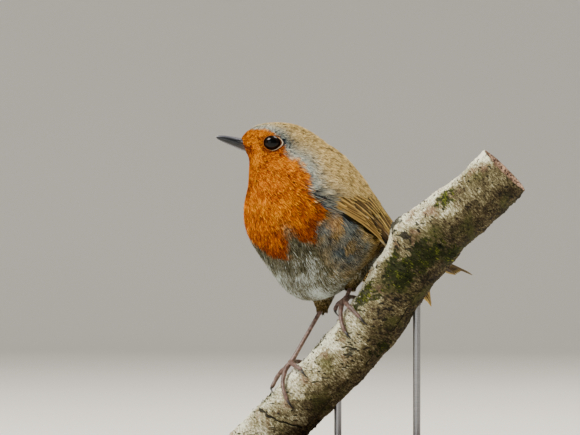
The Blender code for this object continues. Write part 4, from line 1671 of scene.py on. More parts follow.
@dataclass
class Bill:
    """Two mandibles: half-round sections that narrow from inside the face to the tip."""

    BASE = np.array([-49.9, -9.6, 129.7])
    TIP = np.array([-60.8, -9.75, 133.2])
    WIDTH = 2.5
    GAP = -0.08
    # Least half width and height, how far the bill bows down to its tip, and the ridge on top.
    LEAST_WIDTH = 0.12
    LEAST_HEIGHT = 0.08
    BOW = 0.25
    RIDGE = 0.05
    # Rings up to the last tenth and in it, and points over the arch.
    RINGS = (56, 12)
    SIDES = 33
    # Share along the bill and angle round it where the nostrils are, and their reach in each.
    NOSTRIL = (0.17, 0.52, 0.075, 0.13)
    # Name, height at the base, sign of up, share of the bill's length, and how it narrows.
    MANDIBLES = (("upper", 2.6, 1.0, 1.0, 0.38), ("lower", 2.0, -1.0, 0.965, 0.54))

    def mandible(self, height: float, sign: float, reach: float, slimming: float) -> Shape:
        """One mandible: centre + w cos a across + h sin a up, where w and h fall as (1 - t)^p.

        Args:
            height: Height at the base.
            sign: 1 for the upper and -1 for the lower.
            reach: Share of the bill's length that it has.
            slimming: The power with which its height falls.

        Returns:
            The closed shape.
        """
        forward = unit(self.TIP - self.BASE)
        across = np.array([0.0, 1.0, 0.0])
        across = unit(across - forward * np.dot(forward, across))
        up = np.cross(forward, across)
        up = up * np.sign(up[2])
        share = np.concatenate([np.linspace(-0.3, 0.9, self.RINGS[0]),
                                1.0 - np.geomspace(0.09, 0.004, self.RINGS[1])])
        angle = np.linspace(0.0, math.pi, self.SIDES)
        slim = 1.0 - np.maximum(share, 0.0)
        width = (self.WIDTH * slim**0.8 + self.LEAST_WIDTH)[:, None]
        tall = (height * slim**slimming + self.LEAST_HEIGHT)[:, None]
        centre = self.BASE + (share * reach)[:, None] * (self.TIP - self.BASE)
        centre = centre - (self.BOW * share**3)[:, None] * up + sign * 0.35 * self.GAP * up
        ridge = 1.0 + self.RIDGE * bump(angle[None], math.pi / 2.0, 0.25)
        place, side, length, breadth = self.NOSTRIL
        sides = bump(angle, side, breadth) + bump(angle, math.pi - side, breadth)
        sunk = max(sign, 0.0) * bump(share[:, None], place, length) * sides[None]
        flat = 1.0 - 0.13 * sunk
        y = np.cos(angle)[None] * width * flat
        z = sign * np.sin(angle)[None] ** 0.85 * tall * flat * ridge
        rings = centre[:, None] + y[..., None] * across + z[..., None] * up
        under = angle[-2:0:-4]
        floor = centre[:, None] + np.cos(under)[None, :, None] * width[..., None] * across
        high = np.concatenate([np.sin(angle), np.zeros(len(under))])[None]
        sunk = np.pad(sunk, ((0, 0), (0, len(under))))
        return Shape.lofted(np.concatenate([rings, floor], axis=1),
                            {"strand": stacked(share[:, None], high, sunk)})

    def build(self, finish: bpy.types.Material) -> None:
        """Makes both mandibles, in one finish."""
        for name, *sizes in self.MANDIBLES:
            add_piece(f"mandible_{name}", self.mandible(*sizes), finish,
                      [f"bill_{name}"])


# --- Wings and tail --------------------------------------------------------------------------

class Sheet:
    """A curved sheet that feathers lie on: s runs along it and c across it, both 0 to 1."""

    ROWS = 120
    COLUMNS = 41

    def __init__(self, points: Array, outward: Array) -> None:
        """Spaces the rows evenly along the sheet's middle.

        Args:
            points: Grid of points, rows along and columns across.
            outward: Outward directions in the same grid.
        """
        fine = np.linspace(0.0, len(points) - 1.0, self.ROWS)
        across = np.linspace(0.0, points.shape[1] - 1.0, self.COLUMNS)

        def refined(grid: Array) -> Array:
            """A finer grid through the given one."""
            return np.swapaxes(Curve(np.swapaxes(Curve(grid)(fine), 0, 1))(across), 0, 1)

        dense = refined(points)
        run = lengths(dense[:, self.COLUMNS // 2])
        even = np.interp(np.linspace(0.0, run[-1], self.ROWS), run, np.arange(float(self.ROWS)))
        self.grid, self.outward = Curve(dense)(even), unit(Curve(refined(outward))(even))
        self.across = unit(np.gradient(self.grid, axis=1))

    @staticmethod
    def read(grid: Array, s: Array, c: Array) -> Array:
        """A grid read between its points.

        Args:
            grid: The grid.
            s: Shares along.
            c: Shares across.

        Returns:
            The values, carried on in a straight line beyond the grid's end.
        """
        rows, columns = grid.shape[:2]
        row, column = s * (rows - 1.0), np.clip(c, 0.0, 1.0) * (columns - 1.0)
        low = np.clip(row.astype(int), 0, rows - 2)
        left = np.clip(column.astype(int), 0, columns - 2)
        t, w = (row - low)[..., None], (column - left)[..., None]
        near, far = (grid[at, left] * (1.0 - w) + grid[at, left + 1] * w for at in (low, low + 1))
        return near * (1.0 - t) + far * t


@dataclass(frozen=True)
class Vane:
    """One feather of a wing or tail, from its root to its tip on the sheet: width, height over
    the sheet, share of the outer web, bluntness, and how strong its pale edge, its warm tone and
    its tip spot are. A pale one is buff along its edge."""

    root: tuple[float, float]
    tip: tuple[float, float]
    width: float
    height: float
    outer: float
    blunt: float
    edge: float
    warm: float
    spot: float = 0.0
    pale: float = 0.0


def spaced(first: float, step: float, count: int, sway: float = 0.0,
           pace: float = 0.0) -> tuple[float, ...]:
    """Evenly stepped numbers with a wave on them: first + step k + sway sin(pace k)."""
    return tuple(first + step * k + sway * math.sin(pace * k) for k in range(count))


@dataclass(frozen=True)
class Row:
    """A row of vanes. A pair gives the first one's value and what each next one adds. In warm,
    spot and pale the last number holds for the rest of the row."""

    root: float
    root_across: tuple[float, float]
    tips: tuple[float, ...]
    tip_across: tuple[float, float]
    width: float
    height: tuple[float, float]
    outer: float
    blunt: float
    edge: float
    warm: tuple[float, ...]
    spot: tuple[float, ...] = (0.0,)
    pale: tuple[float, ...] = (0.0,)

    def vanes(self) -> list[Vane]:
        """The row's feathers, from the lowest to the highest.

        Returns:
            The feathers.
        """
        made = []
        for k, tip in enumerate(self.tips):
            pairs = (self.root_across, self.tip_across, self.height)
            across, tip_across, height = (first + step * k for first, step in pairs)
            held = (values[min(k, len(values) - 1)]
                    for values in (self.warm, self.spot, self.pale))
            made.append(Vane((self.root, across), (tip, tip_across), self.width, height,
                             self.outer, self.blunt, self.edge, *held))
        return made


class Plumes:
    """Turns vanes into closed blades with a shaft, a narrow outer web and a wide inner one."""

    ROWS = 17
    COLUMNS = 9
    THICKNESS = 0.12
    SHAFT = 0.07
    ROOT_DIP = 0.7

    def __init__(self, sheet: Sheet, seed: int, sunk: float = 0.0) -> None:
        """Keeps the sheet.

        Args:
            sheet: What the vanes lie on.
            seed: Seed of their unevenness.
            sunk: How far they lie below the sheet near its root, under the small feathers.
        """
        self.sheet = sheet
        self.sunk = sunk
        self.random = np.random.default_rng(seed)

    def blade(self, vane: Vane, number: int, count: int) -> Shape:
        """One blade. Its half width is w (1 - e^-9t) (1 - t^2k)^0.5, k being its bluntness, and it
        arches across as 1 - x^2 with a raised shaft.

        Args:
            vane: The feather.
            number: Its number, for its strip on the unwrap.
            count: How many there are.

        Returns:
            The closed shape.
        """
        random, sheet = self.random, self.sheet
        t = np.linspace(0.0, 1.0, self.ROWS)[:, None] ** 0.9
        x = np.linspace(-1.0, 1.0, self.COLUMNS)[None]
        bend = random.uniform(-0.012, 0.012)
        s = vane.root[0] + (vane.tip[0] - vane.root[0]) * t
        c = vane.root[1] + (vane.tip[1] - vane.root[1]) * t + bend * np.sin(math.pi * t)
        spine, outward, across = (sheet.read(grid, s[:, 0], c[:, 0])
                                  for grid in (sheet.grid, sheet.outward, sheet.across))
        outward, along = unit(outward), unit(np.gradient(spine, axis=0))
        across = unit(across - along * dot(across, along)[:, None])
        profile = (1.0 - np.exp(-9.0 * t)) * np.sqrt(np.maximum(1.0 - t ** (2.0 * vane.blunt), 0.0))
        share = np.where(x < 0.0, vane.outer, 1.0 - vane.outer)
        ragged = 1.0 + 0.05 * np.sin(random.uniform(0, 6) + 40.0 * t) * (np.abs(x) > 0.9)
        aside = x * share * vane.width * (0.04 + 0.96 * profile) * ragged
        camber = 0.05 * vane.width * (1.0 - x**2) + self.SHAFT * bump(x, 0.0, 0.13)
        rise = vane.height + camber - self.ROOT_DIP * (1.0 - t) ** 3 + random.uniform(-0.04, 0.04)
        rise = rise - self.sunk * smooth(0.5, 0.3, s)
        outward = outward[:, None]
        top = spine[:, None] + aside[..., None] * across[:, None] + rise[..., None] * outward
        rings = np.concatenate([top, (top - self.THICKNESS * outward)[:, ::-1]], axis=1)
        half = stacked(t, x, 0.5 + random.normal(0.0, 0.08) + 2.0 * vane.pale)
        mark = np.concatenate([half, half[:, ::-1]], axis=1)
        dress = np.broadcast_to([vane.edge, vane.warm, vane.spot], mark.shape)
        strip = (number + 0.5 + 0.42 * mark[..., 1]) / count
        uv = np.stack([0.01 + 0.98 * strip, MAP_EDGE + MAP_SPAN * mark[..., 0]], axis=-1)
        return Shape.lofted(rings, {"vane": mark, "dress": dress}, uv)

    def build(self, vanes: Sequence[Vane]) -> Shape:
        """Makes every vane, in one shape."""
        return Shape.joined([self.blade(v, k, len(vanes)) for k, v in enumerate(vanes)])


@dataclass
class Wing:
    """A folded wing: flight feathers under greater and primary coverts, with the alula."""

    form: BodyForm
    side: str
    sign: float
    TIP = np.array([27.4, 25.5, 65.8])
    # Station along the body, angles of the lower and upper edge, and height over the body at each.
    BODY_ROWS = ((4.9, 96.0, 62.0, 2.0, 2.0), (5.6, 101.0, 42.0, 2.0, 2.0),
                 (6.6, 100.0, 27.0, 2.0, 2.0), (7.6, 92.0, 16.0, 2.0, 2.5),
                 (8.7, 83.0, 8.0, 2.0, 3.6))
    # The free blade: share of the way to the tip, lower and upper edge, and how far it bows.
    BLADE = ((0.28, -9.6, 7.0, 1.6), (0.52, -6.4, 5.2, 1.3), (0.76, -4.3, 3.9, 0.9),
             (0.93, -3.2, 3.6, 0.4), (1.0, -2.4, 2.6, 0.0))
    BOW = 2.2
    TUCK = 2.4
    TWIST = 1.8
    SUNK = 1.1
    # The body's own plane, in which the right wing mirrors the left: its yaw and a point of it.
    YAW = 38.0
    CENTRE = np.array([-22.8, 2.0, 0.0])
    # Primaries, secondaries, tertials, primary coverts, alula, greater and median coverts.
    ROWS = (
        Row(0.32, (0.1, 0.045), (0.88, 0.96, 1.0, 0.99, 0.96, 0.93, 0.9, 0.88), (0.02, 0.127),
            5.2, (-1.3, 0.07), 0.2, 3.8, 1.0, (0.2, 0.7), pale=(1.0, 0.0)),
        Row(0.26, (0.42, 0.052), spaced(0.86, -0.014, 8), (0.4, 0.052),
            5.2, (-0.75, 0.06), 0.2, 2.2, 1.0, (0.8,)),
        Row(0.28, (0.82, 0.07), (0.78, 0.72, 0.65), (0.78, 0.07),
            5.0, (-0.2, 0.09), 0.34, 1.7, 1.0, (1.25,)),
        Row(0.13, (0.12, 0.028), spaced(0.56, -0.026, 6), (0.03, 0.028),
            2.6, (-0.75, 0.07), 0.4, 1.4, 0.45, (1.1,)),
        Row(0.08, (0.09, 0.03), spaced(0.44, -0.03, 3), (0.07, 0.03),
            2.8, (-0.2, 0.1), 0.4, 1.7, 0.3, (1.2,)),
        Row(0.18, (0.26, 0.047), spaced(0.42, 0.011, 16, 0.022, 2.4), (0.15, 0.047),
            2.9, (-0.15, 0.03), 0.3, 1.4, 1.0, (0.7,), (1.0, 0.35, 0.35, 0.35, 0.1)),
        Row(0.1, (0.21, 0.05), spaced(0.3, 0.014, 16, 0.02, 1.7), (0.13, 0.05),
            2.8, (0.15, 0.03), 0.5, 1.3, 0.9, (1.1,), (0.1,)),
    )

    def tip(self) -> Array:
        """The wing's tip, mirrored in the body's own plane for the right wing."""
        left = heading(np.array([self.YAW]), np.array([0.0]))[2][0]
        away = 2.0 * np.dot(self.TIP - self.CENTRE, left) * left
        return self.TIP if self.sign > 0.0 else self.TIP - away

    def sheet(self) -> Sheet:
        """The wing's outer surface: rows on the body's side, then a free blade that turns upright
        towards the tip.

        Returns:
            The surface.
        """
        columns = np.linspace(0.0, 1.0, 6)
        rows = np.array(self.BODY_ROWS)

        def across_row(first: int) -> Array:
            """Two neighbouring numbers of each row, shared out over the columns."""
            low, high = rows[:, first, None], rows[:, first + 1, None]
            return low + (high - low) * columns

        outer = self.form.points(rows[:, :1], self.sign * across_row(1), across_row(3))
        outward = unit(outer - self.form.curve(rows[:, 0])[:, None, :3])
        last = outer[-1]
        middle, across = last.mean(axis=0), unit(last[-1] - last[0])
        share, low, high, bow = (column[:, None, None] for column in np.array(self.BLADE).T)
        axis = unit(self.tip() - middle)
        across = across + self.TWIST * share**2 * UP
        across = unit(across - axis * (across @ axis)[..., None])
        facing = np.cross(across, axis)
        facing = facing * np.sign(facing @ outward[-1].mean(axis=0))[..., None]
        c = columns[None, :, None]
        blade = middle + share * (self.tip() - middle) + (low + c * (high - low)) * across
        arch = np.sin(math.pi * share)
        out = self.BOW * arch + bow * (1.0 - (2.0 * c - 1.0) ** 2)
        blade = blade + (out - self.TUCK * arch * (1.0 - c) ** 2) * facing
        turned = np.concatenate([outward, np.broadcast_to(facing, blade.shape)])
        return Sheet(np.concatenate([outer, blade]), turned)

    def build(self, finish: bpy.types.Material) -> None:
        """Makes the wing, in one finish."""
        plumes = Plumes(self.sheet(), 41 + int(self.sign), self.SUNK)
        shape = plumes.build([vane for row in self.ROWS for vane in row.vanes()])
        name = f"wing_{self.side}"
        add_piece(f"{name}_feathers", shape, finish, [name])


@dataclass
class Tail:
    """Twelve tail feathers that overlap from the middle pair outwards and downwards."""

    form: BodyForm
    LENGTH = 36.4
    ROOT = -9.0
    YAW = 38.0
    PITCH = 19.0
    # Distance from the root, and half width there.
    WIDTHS = ((-9.0, 3.0), (0.0, 4.0), (12.4, 5.2), (26.6, 6.7), (33.7, 7.3), (36.4, 7.2))
    ARCH = 1.3
    THICKNESS = 2.0
    PAIRS = 6
    # A feather's width, share of the outer web, bluntness, and strength of edge and warm tone.
    FEATHER = (4.6, 0.5, 5.0, 0.4, 0.35)

    def sheet(self) -> Sheet:
        """Root + reach backwards + half width across + arch (1 - x^2) up.

        Returns:
            The surface.
        """
        back, rise, left = (v[0] for v in heading(np.array([self.YAW]), np.array([self.PITCH])))
        root = self.form.curve(self.form.LAST)[0, :3] + back * 0.4
        reach = np.linspace(self.ROOT, self.LENGTH, 12)
        half = np.interp(reach, *zip(*self.WIDTHS))[:, None]
        x = np.linspace(-1.0, 1.0, 7)[None]
        up = self.ARCH * (1.0 - x**2) + self.THICKNESS / 2.0
        points = (root + reach[:, None, None] * back + (half * x)[..., None] * left
                  + up[..., None] * rise)
        return Sheet(points, np.broadcast_to(rise, points.shape))

    def build(self, finish: bpy.types.Material) -> None:
        """Makes the tail, from the outermost pair to the middle one.

        Args:
            finish: Its material.
        """
        vanes, (width, *look) = [], self.FEATHER
        for pair in range(self.PAIRS):
            out = (self.PAIRS - 0.5 - pair) / self.PAIRS
            for side in (-1.0, 1.0):
                tip = (0.995 - 0.02 * (1.0 - out), 0.5 + side * 0.4 * out)
                root = (0.0, 0.5 + side * 0.2 * out)
                vanes.append(Vane(root, tip, width, -1.3 + 0.2 * pair, *look))
        add_piece("tail_feathers", Plumes(self.sheet(), 47).build(vanes),
                  finish, ["tail"])


# --- Perch -----------------------------------------------------------------------------------

@dataclass(frozen=True)
class Patch:
    """A patch on the bark: distance along, angle, and how far it reaches in each."""

    along: float
    degrees: float
    length: float
    breadth: float
    strength: float = 1.0

    def at(self, along: Array, degrees: Array) -> Array:
        """Its bell at distances along the perch and angles round it."""
        bell = bump(along, self.along, self.length)
        return self.strength * bell * bump(off(degrees, self.degrees), 0.0, self.breadth)


@dataclass
class Bark:
    """The branch's bark: corky dashes across it, a ring crack, a knot, and a broken end."""

    perch: PerchForm
    ROWS = 460
    SIDES = 200
    MOSS = (Patch(118.5, 48.0, 5.5, 20.0, 0.7), Patch(100.5, 98.0, 7.4, 23.0, 1.1),
            Patch(87.0, 82.0, 7.6, 32.0, 1.2), Patch(70.5, 42.0, 7.0, 24.0, 1.2),
            Patch(57.5, 140.0, 7.0, 22.0, 0.7), Patch(104.0, 145.0, 6.0, 25.0, 0.9),
            Patch(-2.0, 90.0, 10.0, 60.0, 0.35), Patch(8.0, 12.0, 12.0, 16.0, 0.5),
            Patch(38.0, 5.0, 16.0, 14.0, 0.45), Patch(60.0, 240.0, 14.0, 50.0, 0.8))
    # Where the moss is lit, how many tufts are tried, and how far they stay off cut and break.
    LIT = (Patch(70.5, 45.0, 9.0, 30.0), Patch(118.5, 48.0, 9.0, 30.0))
    TUFTS = 16000
    OFF_CUT = 1.5
    OFF_BREAK = 4.0
    SCAR = Patch(98.5, 50.0, 6.0, 28.0)
    DARK = (Patch(49.0, 90.0, 3.0, 14.0, 0.75), Patch(99.0, 5.0, 5.0, 18.0, 1.2),
            Patch(75.0, 100.0, 7.0, 20.0, 0.5))
    # Where the ring crack starts, how far it climbs to the far side, and how it sags between.
    CRACK = (6.5, 5.35, 2.5)
    # Corky dashes: how many, half breadth in sides, half height in millimetres, and how many of
    # them are twice as broad.
    DASHES = 1500
    DASH_BREADTH = (0.9, 2.8)
    DASH_HEIGHT = (0.24, 0.5)
    BROAD_SHARE = 0.06
    # The ragged break: height, waves round the branch and phase.
    BREAK = ((1.3, 2.0, -0.6), (0.65, 5.0, 1.0), (0.52, 9.0, 0.0), (0.5, 31.0, 1.0))
    # Finer relief: height, wave length and seed.
    RELIEF = ((0.16, 2.2, 65), (0.1, 0.9, 66))
    # The broken face: rings, how far it's sunk, how flat, how splintered, and the centimetres
    # round it that its marks are spread over.
    FACE_RINGS = 26
    FACE_SUNK = 1.6
    FACE_FLAT = 0.75
    SPLINTERS = 0.8
    FACE_GIRTH = 7.35

    def moss(self, along: Array, degrees: Array) -> Array:
        """How mossy the bark is: the patches, broken up by unevenness.

        Args:
            along: Distances along the perch.
            degrees: Angles round it.

        Returns:
            Shares between 0 and 1.
        """
        spots = self.perch.points(along, degrees)
        total = sum(patch.at(along, degrees) for patch in self.MOSS)
        uneven = 0.28 * ripples(spots, 6.0, 51) + 0.3 * ripples(spots, 2.2, 52)
        return smooth(0.25, 0.8, total + uneven * smooth(0.02, 0.3, total))

    def shade(self, along: Array, degrees: Array) -> Array:
        """Painted shade on the bark: palest on its upper left, where the light falls, darkest in
        front and below, where shade falls, and darker halfway up.

        Args:
            along: Distances along the perch.
            degrees: Angles round it.

        Returns:
            Shares from -0.2 to 1.
        """
        turn = np.abs(off(degrees, 10.0))
        halfway = 0.46 * bump(along, 84.0, 22.0) + 0.3 * smooth(104.0, 122.0, along)
        halfway = halfway + 0.1 * smooth(60.0, 30.0, along)
        spots = self.perch.points(along, degrees)
        uneven = 0.12 * ripples(spots, 9.0, 68) + 0.08 * ripples(spots, 3.0, 69)
        # Painted shade by the angle round the branch: light on the upper left, shade in front and
        # below.
        side = 0.24 * smooth(8.0, 50.0, turn) - 0.12 + 0.66 * smooth(15.0, 140.0, turn)
        return np.clip(side + halfway * smooth(-10.0, 50.0, turn) + uneven, -0.2, 1.0)

    def dashes(self, pitch: float) -> tuple[Array, Array]:
        """Raised and sunk corky dashes that lie across the branch, each a bell on the grid.

        Args:
            pitch: Distance between the grid's rows.

        Returns:
            Their height, and how dark each place is.
        """
        random = np.random.default_rng(61)
        raised, dark = np.zeros((2, self.ROWS, self.SIDES))
        for _ in range(self.DASHES):
            row, side = random.uniform(0, self.ROWS), random.uniform(0, self.SIDES)
            broad = random.uniform(*self.DASH_BREADTH)
            broad = broad * (2.0 if random.random() < self.BROAD_SHARE else 1.0)
            tall = random.uniform(*self.DASH_HEIGHT) / pitch
            near = np.arange(max(int(row) - 4, 0), min(int(row) + 5, self.ROWS))[:, None]
            round_it = np.arange(int(side) - 10, int(side) + 11)
            up = (near - row - random.uniform(-0.12, 0.12) * (round_it - side)) / tall
            bell = np.exp(-up**2 - np.abs((round_it - side) / broad) ** 2.6)
            bell = bell * random.uniform(0.5, 1.0)
            where = (near, round_it % self.SIDES)
            raised[where] += bell * random.choice([1.0, 1.0, -0.6])
            dark[where] = np.maximum(dark[where], bell)
        return raised, dark

    def grid(self) -> tuple[Array, Array]:
        """The bark's grid, from the level cut at its foot to the ragged break.

        Returns:
            Distances along the perch and angles round it.
        """
        perch = self.perch
        degrees = np.linspace(0.0, 360.0, self.SIDES, endpoint=False)
        trial = np.linspace(-perch.START, 40.0, 120)
        heights = perch.points(trial[:, None], degrees[None])[..., 2]
        starts = np.array([np.interp(perch.CUT_Z, column, trial) for column in heights.T])
        angle = np.radians(degrees)
        ragged = sum(height * np.sin(sides * angle + phase) for height, sides, phase in self.BREAK)
        ragged = ragged + 0.6 * np.sin(17.0 * angle + 2.0 * np.sin(3.0 * angle))
        share = np.linspace(0.0, 1.0, self.ROWS)[:, None]
        along = starts + share * (perch.LENGTH + ragged * 0.9 - 0.4 - starts)
        return along, np.broadcast_to(degrees, along.shape)

    def crack(self, along: Array, turn: Array, spots: Array) -> tuple[Array, Array]:
        """The ring crack: a groove that climbs to the far side, with a lip above it.

        Args:
            along: Distances along the perch.
            turn: Angles round it.
            spots: The same places as points.

        Returns:
            Shares of groove and lip.
        """
        start, climb, sag = self.CRACK
        bent = np.radians(turn)
        wave = along - start - climb * (1.0 - np.cos(bent)) + sag * np.sin(bent)
        wave = wave - 0.5 * ripples(spots, 4.0, 63)
        ends = smooth(8.0, 30.0, turn) * smooth(250.0, 200.0, turn)
        return bump(wave, 0.0, 0.34) * ends, bump(wave, 0.7, 0.5) * ends

    def surface(self) -> Shape:
        """The bark as rings of the perch's form, raised by its features, and its broken face.

        Returns:
            The closed shape.
        """
        perch, scar = self.perch, self.SCAR
        along, turn = self.grid()
        spots = perch.points(along, turn)
        raised, dark = self.dashes((perch.LENGTH + 10.0) / (self.ROWS - 1.0))
        away = np.hypot((along - scar.along) / scar.length, (turn - scar.degrees) / scar.breadth)
        lips = bump(away, 0.62, 0.2) * (0.7 + 0.6 * ripples(spots, 3.0, 62))
        groove, lip = self.crack(along, turn, spots)
        moss, scarred = self.moss(along, turn), scar.at(along, turn)
        darker = sum(patch.at(along, turn) for patch in self.DARK)
        lift = 0.42 * raised * (1.0 - 0.7 * moss) - 0.6 * groove + 0.25 * lip + 0.6 * lips
        lift = lift - 0.7 * bump(away, 0.0, 0.35)
        lift = lift + 0.5 * (scarred + 0.5 * darker) * ripples(spots, 1.6, 64)
        lift = lift + sum(height * ripples(spots, size, seed) for height, size, seed in self.RELIEF)
        points = perch.points(along, turn, np.clip(lift - 0.12, -1.2, 1.1))
        points[..., 2] = np.maximum(points[..., 2], perch.CUT_Z)
        # Dark dashes, patches and scar rim, with painted shade in the crack's groove and the scar's
        # hollow.
        dark_marks_and_shade = 1.1 * dark + 1.4 * groove + 0.9 * bump(away, 0.0, 0.34) + 0.75 * darker
        dark_marks_and_shade = np.clip(dark_marks_and_shade + 0.9 * bump(away, 1.0, 0.2) * scarred, 0.0, 1.0)
        left = (1.0 - np.linspace(0.0, 1.0, self.ROWS)[:, None]) * perch.LENGTH
        bark = stacked(along * 0.1, perch.RADIUS * np.radians(turn) * 0.1, dark_marks_and_shade)
        growth = stacked(moss, smooth(0.6, 0.0, left), self.shade(along, turn))
        face, face_bark, face_growth_and_shade = self.face(points[-1])
        uv = perch.unwrap(along, turn)
        return Shape.lofted(np.concatenate([points, face]),
                            {"bark": np.concatenate([bark, face_bark]),
                             "growth": np.concatenate([growth, face_growth_and_shade])},
                            np.concatenate([uv, np.repeat(uv[-1:], self.FACE_RINGS, axis=0)]))

    def face(self, rim: Array) -> tuple[Array, Array, Array]:
        """The broken end: rings that shrink from the rim to the pith, splintered along the grain.

        Args:
            rim: Points of the rim.

        Returns:
            Rings, and their bark and growth marks.
        """
        middle, along = (grid[0] for grid in self.perch.axes(np.array([self.perch.LENGTH]))[:2])
        share = np.linspace(0.96, 0.02, self.FACE_RINGS)[:, None, None]
        flat = middle - self.FACE_SUNK * along
        held = smooth(1.0, 0.8, share)
        rings = flat + (rim - flat)[None] * share
        rings = rings - held * dot(rings - flat, along)[..., None] * self.FACE_FLAT * along
        grain = ripples(rings, 1.3, 71) + 0.8 * ripples(rings, 3.5, 72)
        rings = rings + (self.SPLINTERS * held[..., 0] * grain)[..., None] * along
        round_it = np.arange(len(rim))[None] / len(rim) * self.FACE_GIRTH
        # Darker where the splinters sink: painted shade.
        bark = stacked(0.1 * self.perch.LENGTH, round_it, 0.2 + 0.6 * np.clip(-grain, 0.0, 1.0))
        return rings, bark, stacked(0.0, np.ones_like(grain), 0.5)

    def moss_tufts(self) -> Shape:
        """Short upright leaves of moss, thickest where the bark is mossiest.

        Returns:
            The tufts in one shape.
        """
        random, perch, count = np.random.default_rng(81), self.perch, self.TUFTS
        along = random.uniform(0.0, perch.LENGTH - self.OFF_BREAK, count)
        degrees = random.uniform(0.0, 360.0, count)
        mossy = self.moss(along, degrees)
        keep = random.uniform(0.0, 1.0, count) < mossy * 0.9
        keep = keep & (perch.points(along, degrees)[:, 2] > perch.CUT_Z + self.OFF_CUT)
        along, degrees, mossy = along[keep], degrees[keep], mossy[keep]
        many, none = len(along), np.zeros(len(along))
        lit = sum(patch.at(along, degrees) for patch in self.LIT)
        uneven = 0.25 * ripples(perch.points(along, degrees), 5.0, 82)
        tone = 0.34 + 0.5 * lit + uneven + random.normal(0.0, 0.16, many)
        sizes = random.uniform(0.5, 1.0, many) * (0.5 + 0.5 * mossy)
        roots = Roots(along, degrees, sizes, 0.9 * sizes, none + 0.2, 0.75 * sizes,
                      random.uniform(-5.0, 5.0, many), none, tone, stacked(mossy, tone, tone))
        return Tufts(perch, perch, 83).grow(roots, Cut(4, 0.16, 1.2, 0.8))

    def build(self, bark: bpy.types.Material, moss: bpy.types.Material) -> None:
        """Makes the bark and its moss, each in its finish."""
        add_piece("perch_bark", self.surface(), bark, ["perch_branch"])
        add_piece("perch_moss", self.moss_tufts(), moss)


# --- Finishes --------------------------------------------------------------------------------

Ramp = tuple[tuple[float, Colour], ...]


@dataclass(frozen=True)
class PlumageFinish:
    """Soft feathers: each zone's ramp runs from painted shade in the gaps between feathers to
    painted light on their tips.
    """

    orange: Ramp = ((0.02, paint(88, 29, 1)), (0.35, paint(132, 55, 1)),
                    (0.6, paint(180, 87, 1)), (0.95, paint(244, 160, 3)))
    olive: Ramp = ((0.05, paint(52, 42, 20)), (0.35, paint(130, 106, 58)),
                   (0.6, paint(186, 156, 92)), (0.95, paint(250, 222, 152)))
    grey: Ramp = ((0.05, paint(30, 39, 46)), (0.35, paint(94, 107, 111)),
                  (0.6, paint(144, 150, 140)), (0.95, paint(214, 216, 202)))
    pale: Ramp = ((0.05, paint(44, 42, 30)), (0.35, paint(82, 79, 57)),
                  (0.6, paint(118, 115, 92)), (0.95, paint(202, 212, 206)))
    # Painted light at the feathers' tips and painted shade at their roots.
    painted_tip_light_and_root_shade: float = 0.62
    # Painted shade along the edges of each blade.
    painted_edge_shade: float = 0.14
    fleck_strength: float = 0.22

    def material(self) -> bpy.types.Material:
        """Mixes the four ramps by the zones marked on skin and coat.

        Returns:
            The material.
        """
        tree = Tree("plumage", Specular_IOR_Level=0.08)
        orange, grey, pale = tree.mark("zones")
        along, tone, edge = tree.mark("strand")
        fleck = tree.noise(1100.0, 2.0)
        # Painted shade at each blade's root and painted light at its tip.
        level = tone + (along.step(0.1, 0.95) - 0.62) * self.painted_tip_light_and_root_shade
        # Painted shade along both edges of each blade.
        level = level - edge.size() ** 2.0 * self.painted_edge_shade + (fleck - 0.5) * self.fleck_strength
        colour = tree.layers(tree.ramp(level, self.olive), (grey, tree.ramp(level, self.grey)),
                             (pale, tree.ramp(level, self.pale)),
                             (orange, tree.ramp(level, self.orange)))
        return tree.finish(colour, 0.72)


@dataclass(frozen=True)
class QuillFinish:
    """Wing and tail feathers: dark webs with barbs, a dark shaft, and tan outer edges."""

    dark: Colour = paint(30, 21, 11)
    brown: Colour = paint(190, 146, 78)
    tan: Colour = paint(255, 220, 128)
    buff: Colour = paint(255, 236, 190)
    shaft: Colour = paint(44, 30, 16)

    def material(self) -> bpy.types.Material:
        """Paints each vane by its own marks: along, across and tone; edge, warmth and tip spot.

        Returns:
            The material.
        """
        tree = Tree("quills", Specular_IOR_Level=0.15)
        along, across, tone = tree.mark("vane")
        edge, warm, spot = tree.mark("dress")
        barbs = (along * 260.0 + across.size() * 60.0 + tone * 40.0).sine() * 0.5 + 0.5
        cloud = tree.noise(420.0, 3.0)
        warmth = ((cloud - 0.5) * 0.7 + warm).step(0.2, 1.4)
        groove = across.step(-0.35, 0.05) * across.step(0.6, 0.2) * 0.6
        web = tree.layers(self.dark, (warmth, self.brown), (barbs * 0.22, self.dark),
                          (groove, self.dark))
        rim = (across.step(-0.25, -0.5) * edge + across.step(0.85, 1.0) * edge * 0.3
               + along.step(0.9, 1.0) * warm * 0.5).at_most(1.0)
        border = tree.layers(self.tan, (tone.step(1.0, 2.0), self.buff))
        tip = along.step(0.9, 0.97) * spot * across.step(0.5, -0.3)
        rib = across.size().step(0.12, 0.04) * along.step(1.0, 0.8)
        colour = tree.layers(web, (rim * (barbs * 0.2 + 0.8), border), (tip, self.buff),
                             (rib * 0.7, self.shaft))
        tree.relief(barbs * 0.5 + cloud * 0.5, 0.00012)
        return tree.finish(colour, 0.6)


@dataclass(frozen=True)
class ScaleFinish:
    """Leg scales: purplish brown, paler on each scute and darker in its groove."""

    dark: Colour = paint(36, 22, 18)
    brown: Colour = paint(84, 60, 50)
    light: Colour = paint(136, 108, 96)

    def material(self) -> bpy.types.Material:
        """Mixes the three by groove and unevenness.

        Returns:
            The material.
        """
        tree = Tree("leg_scales", Coat_Weight=0.15, Coat_Roughness=0.3)
        groove, _, _ = tree.mark("strand")
        cloud = tree.noise(700.0, 3.0)
        colour = tree.layers(self.brown, (cloud.step(0.35, 0.75), self.light),
                             (groove.step(0.2, 0.9) * 0.8, self.dark))
        tree.relief(cloud * 0.4 + (1.0 - groove) * 0.6, 0.0001)
        return tree.finish(colour, cloud * 0.2 + 0.32)


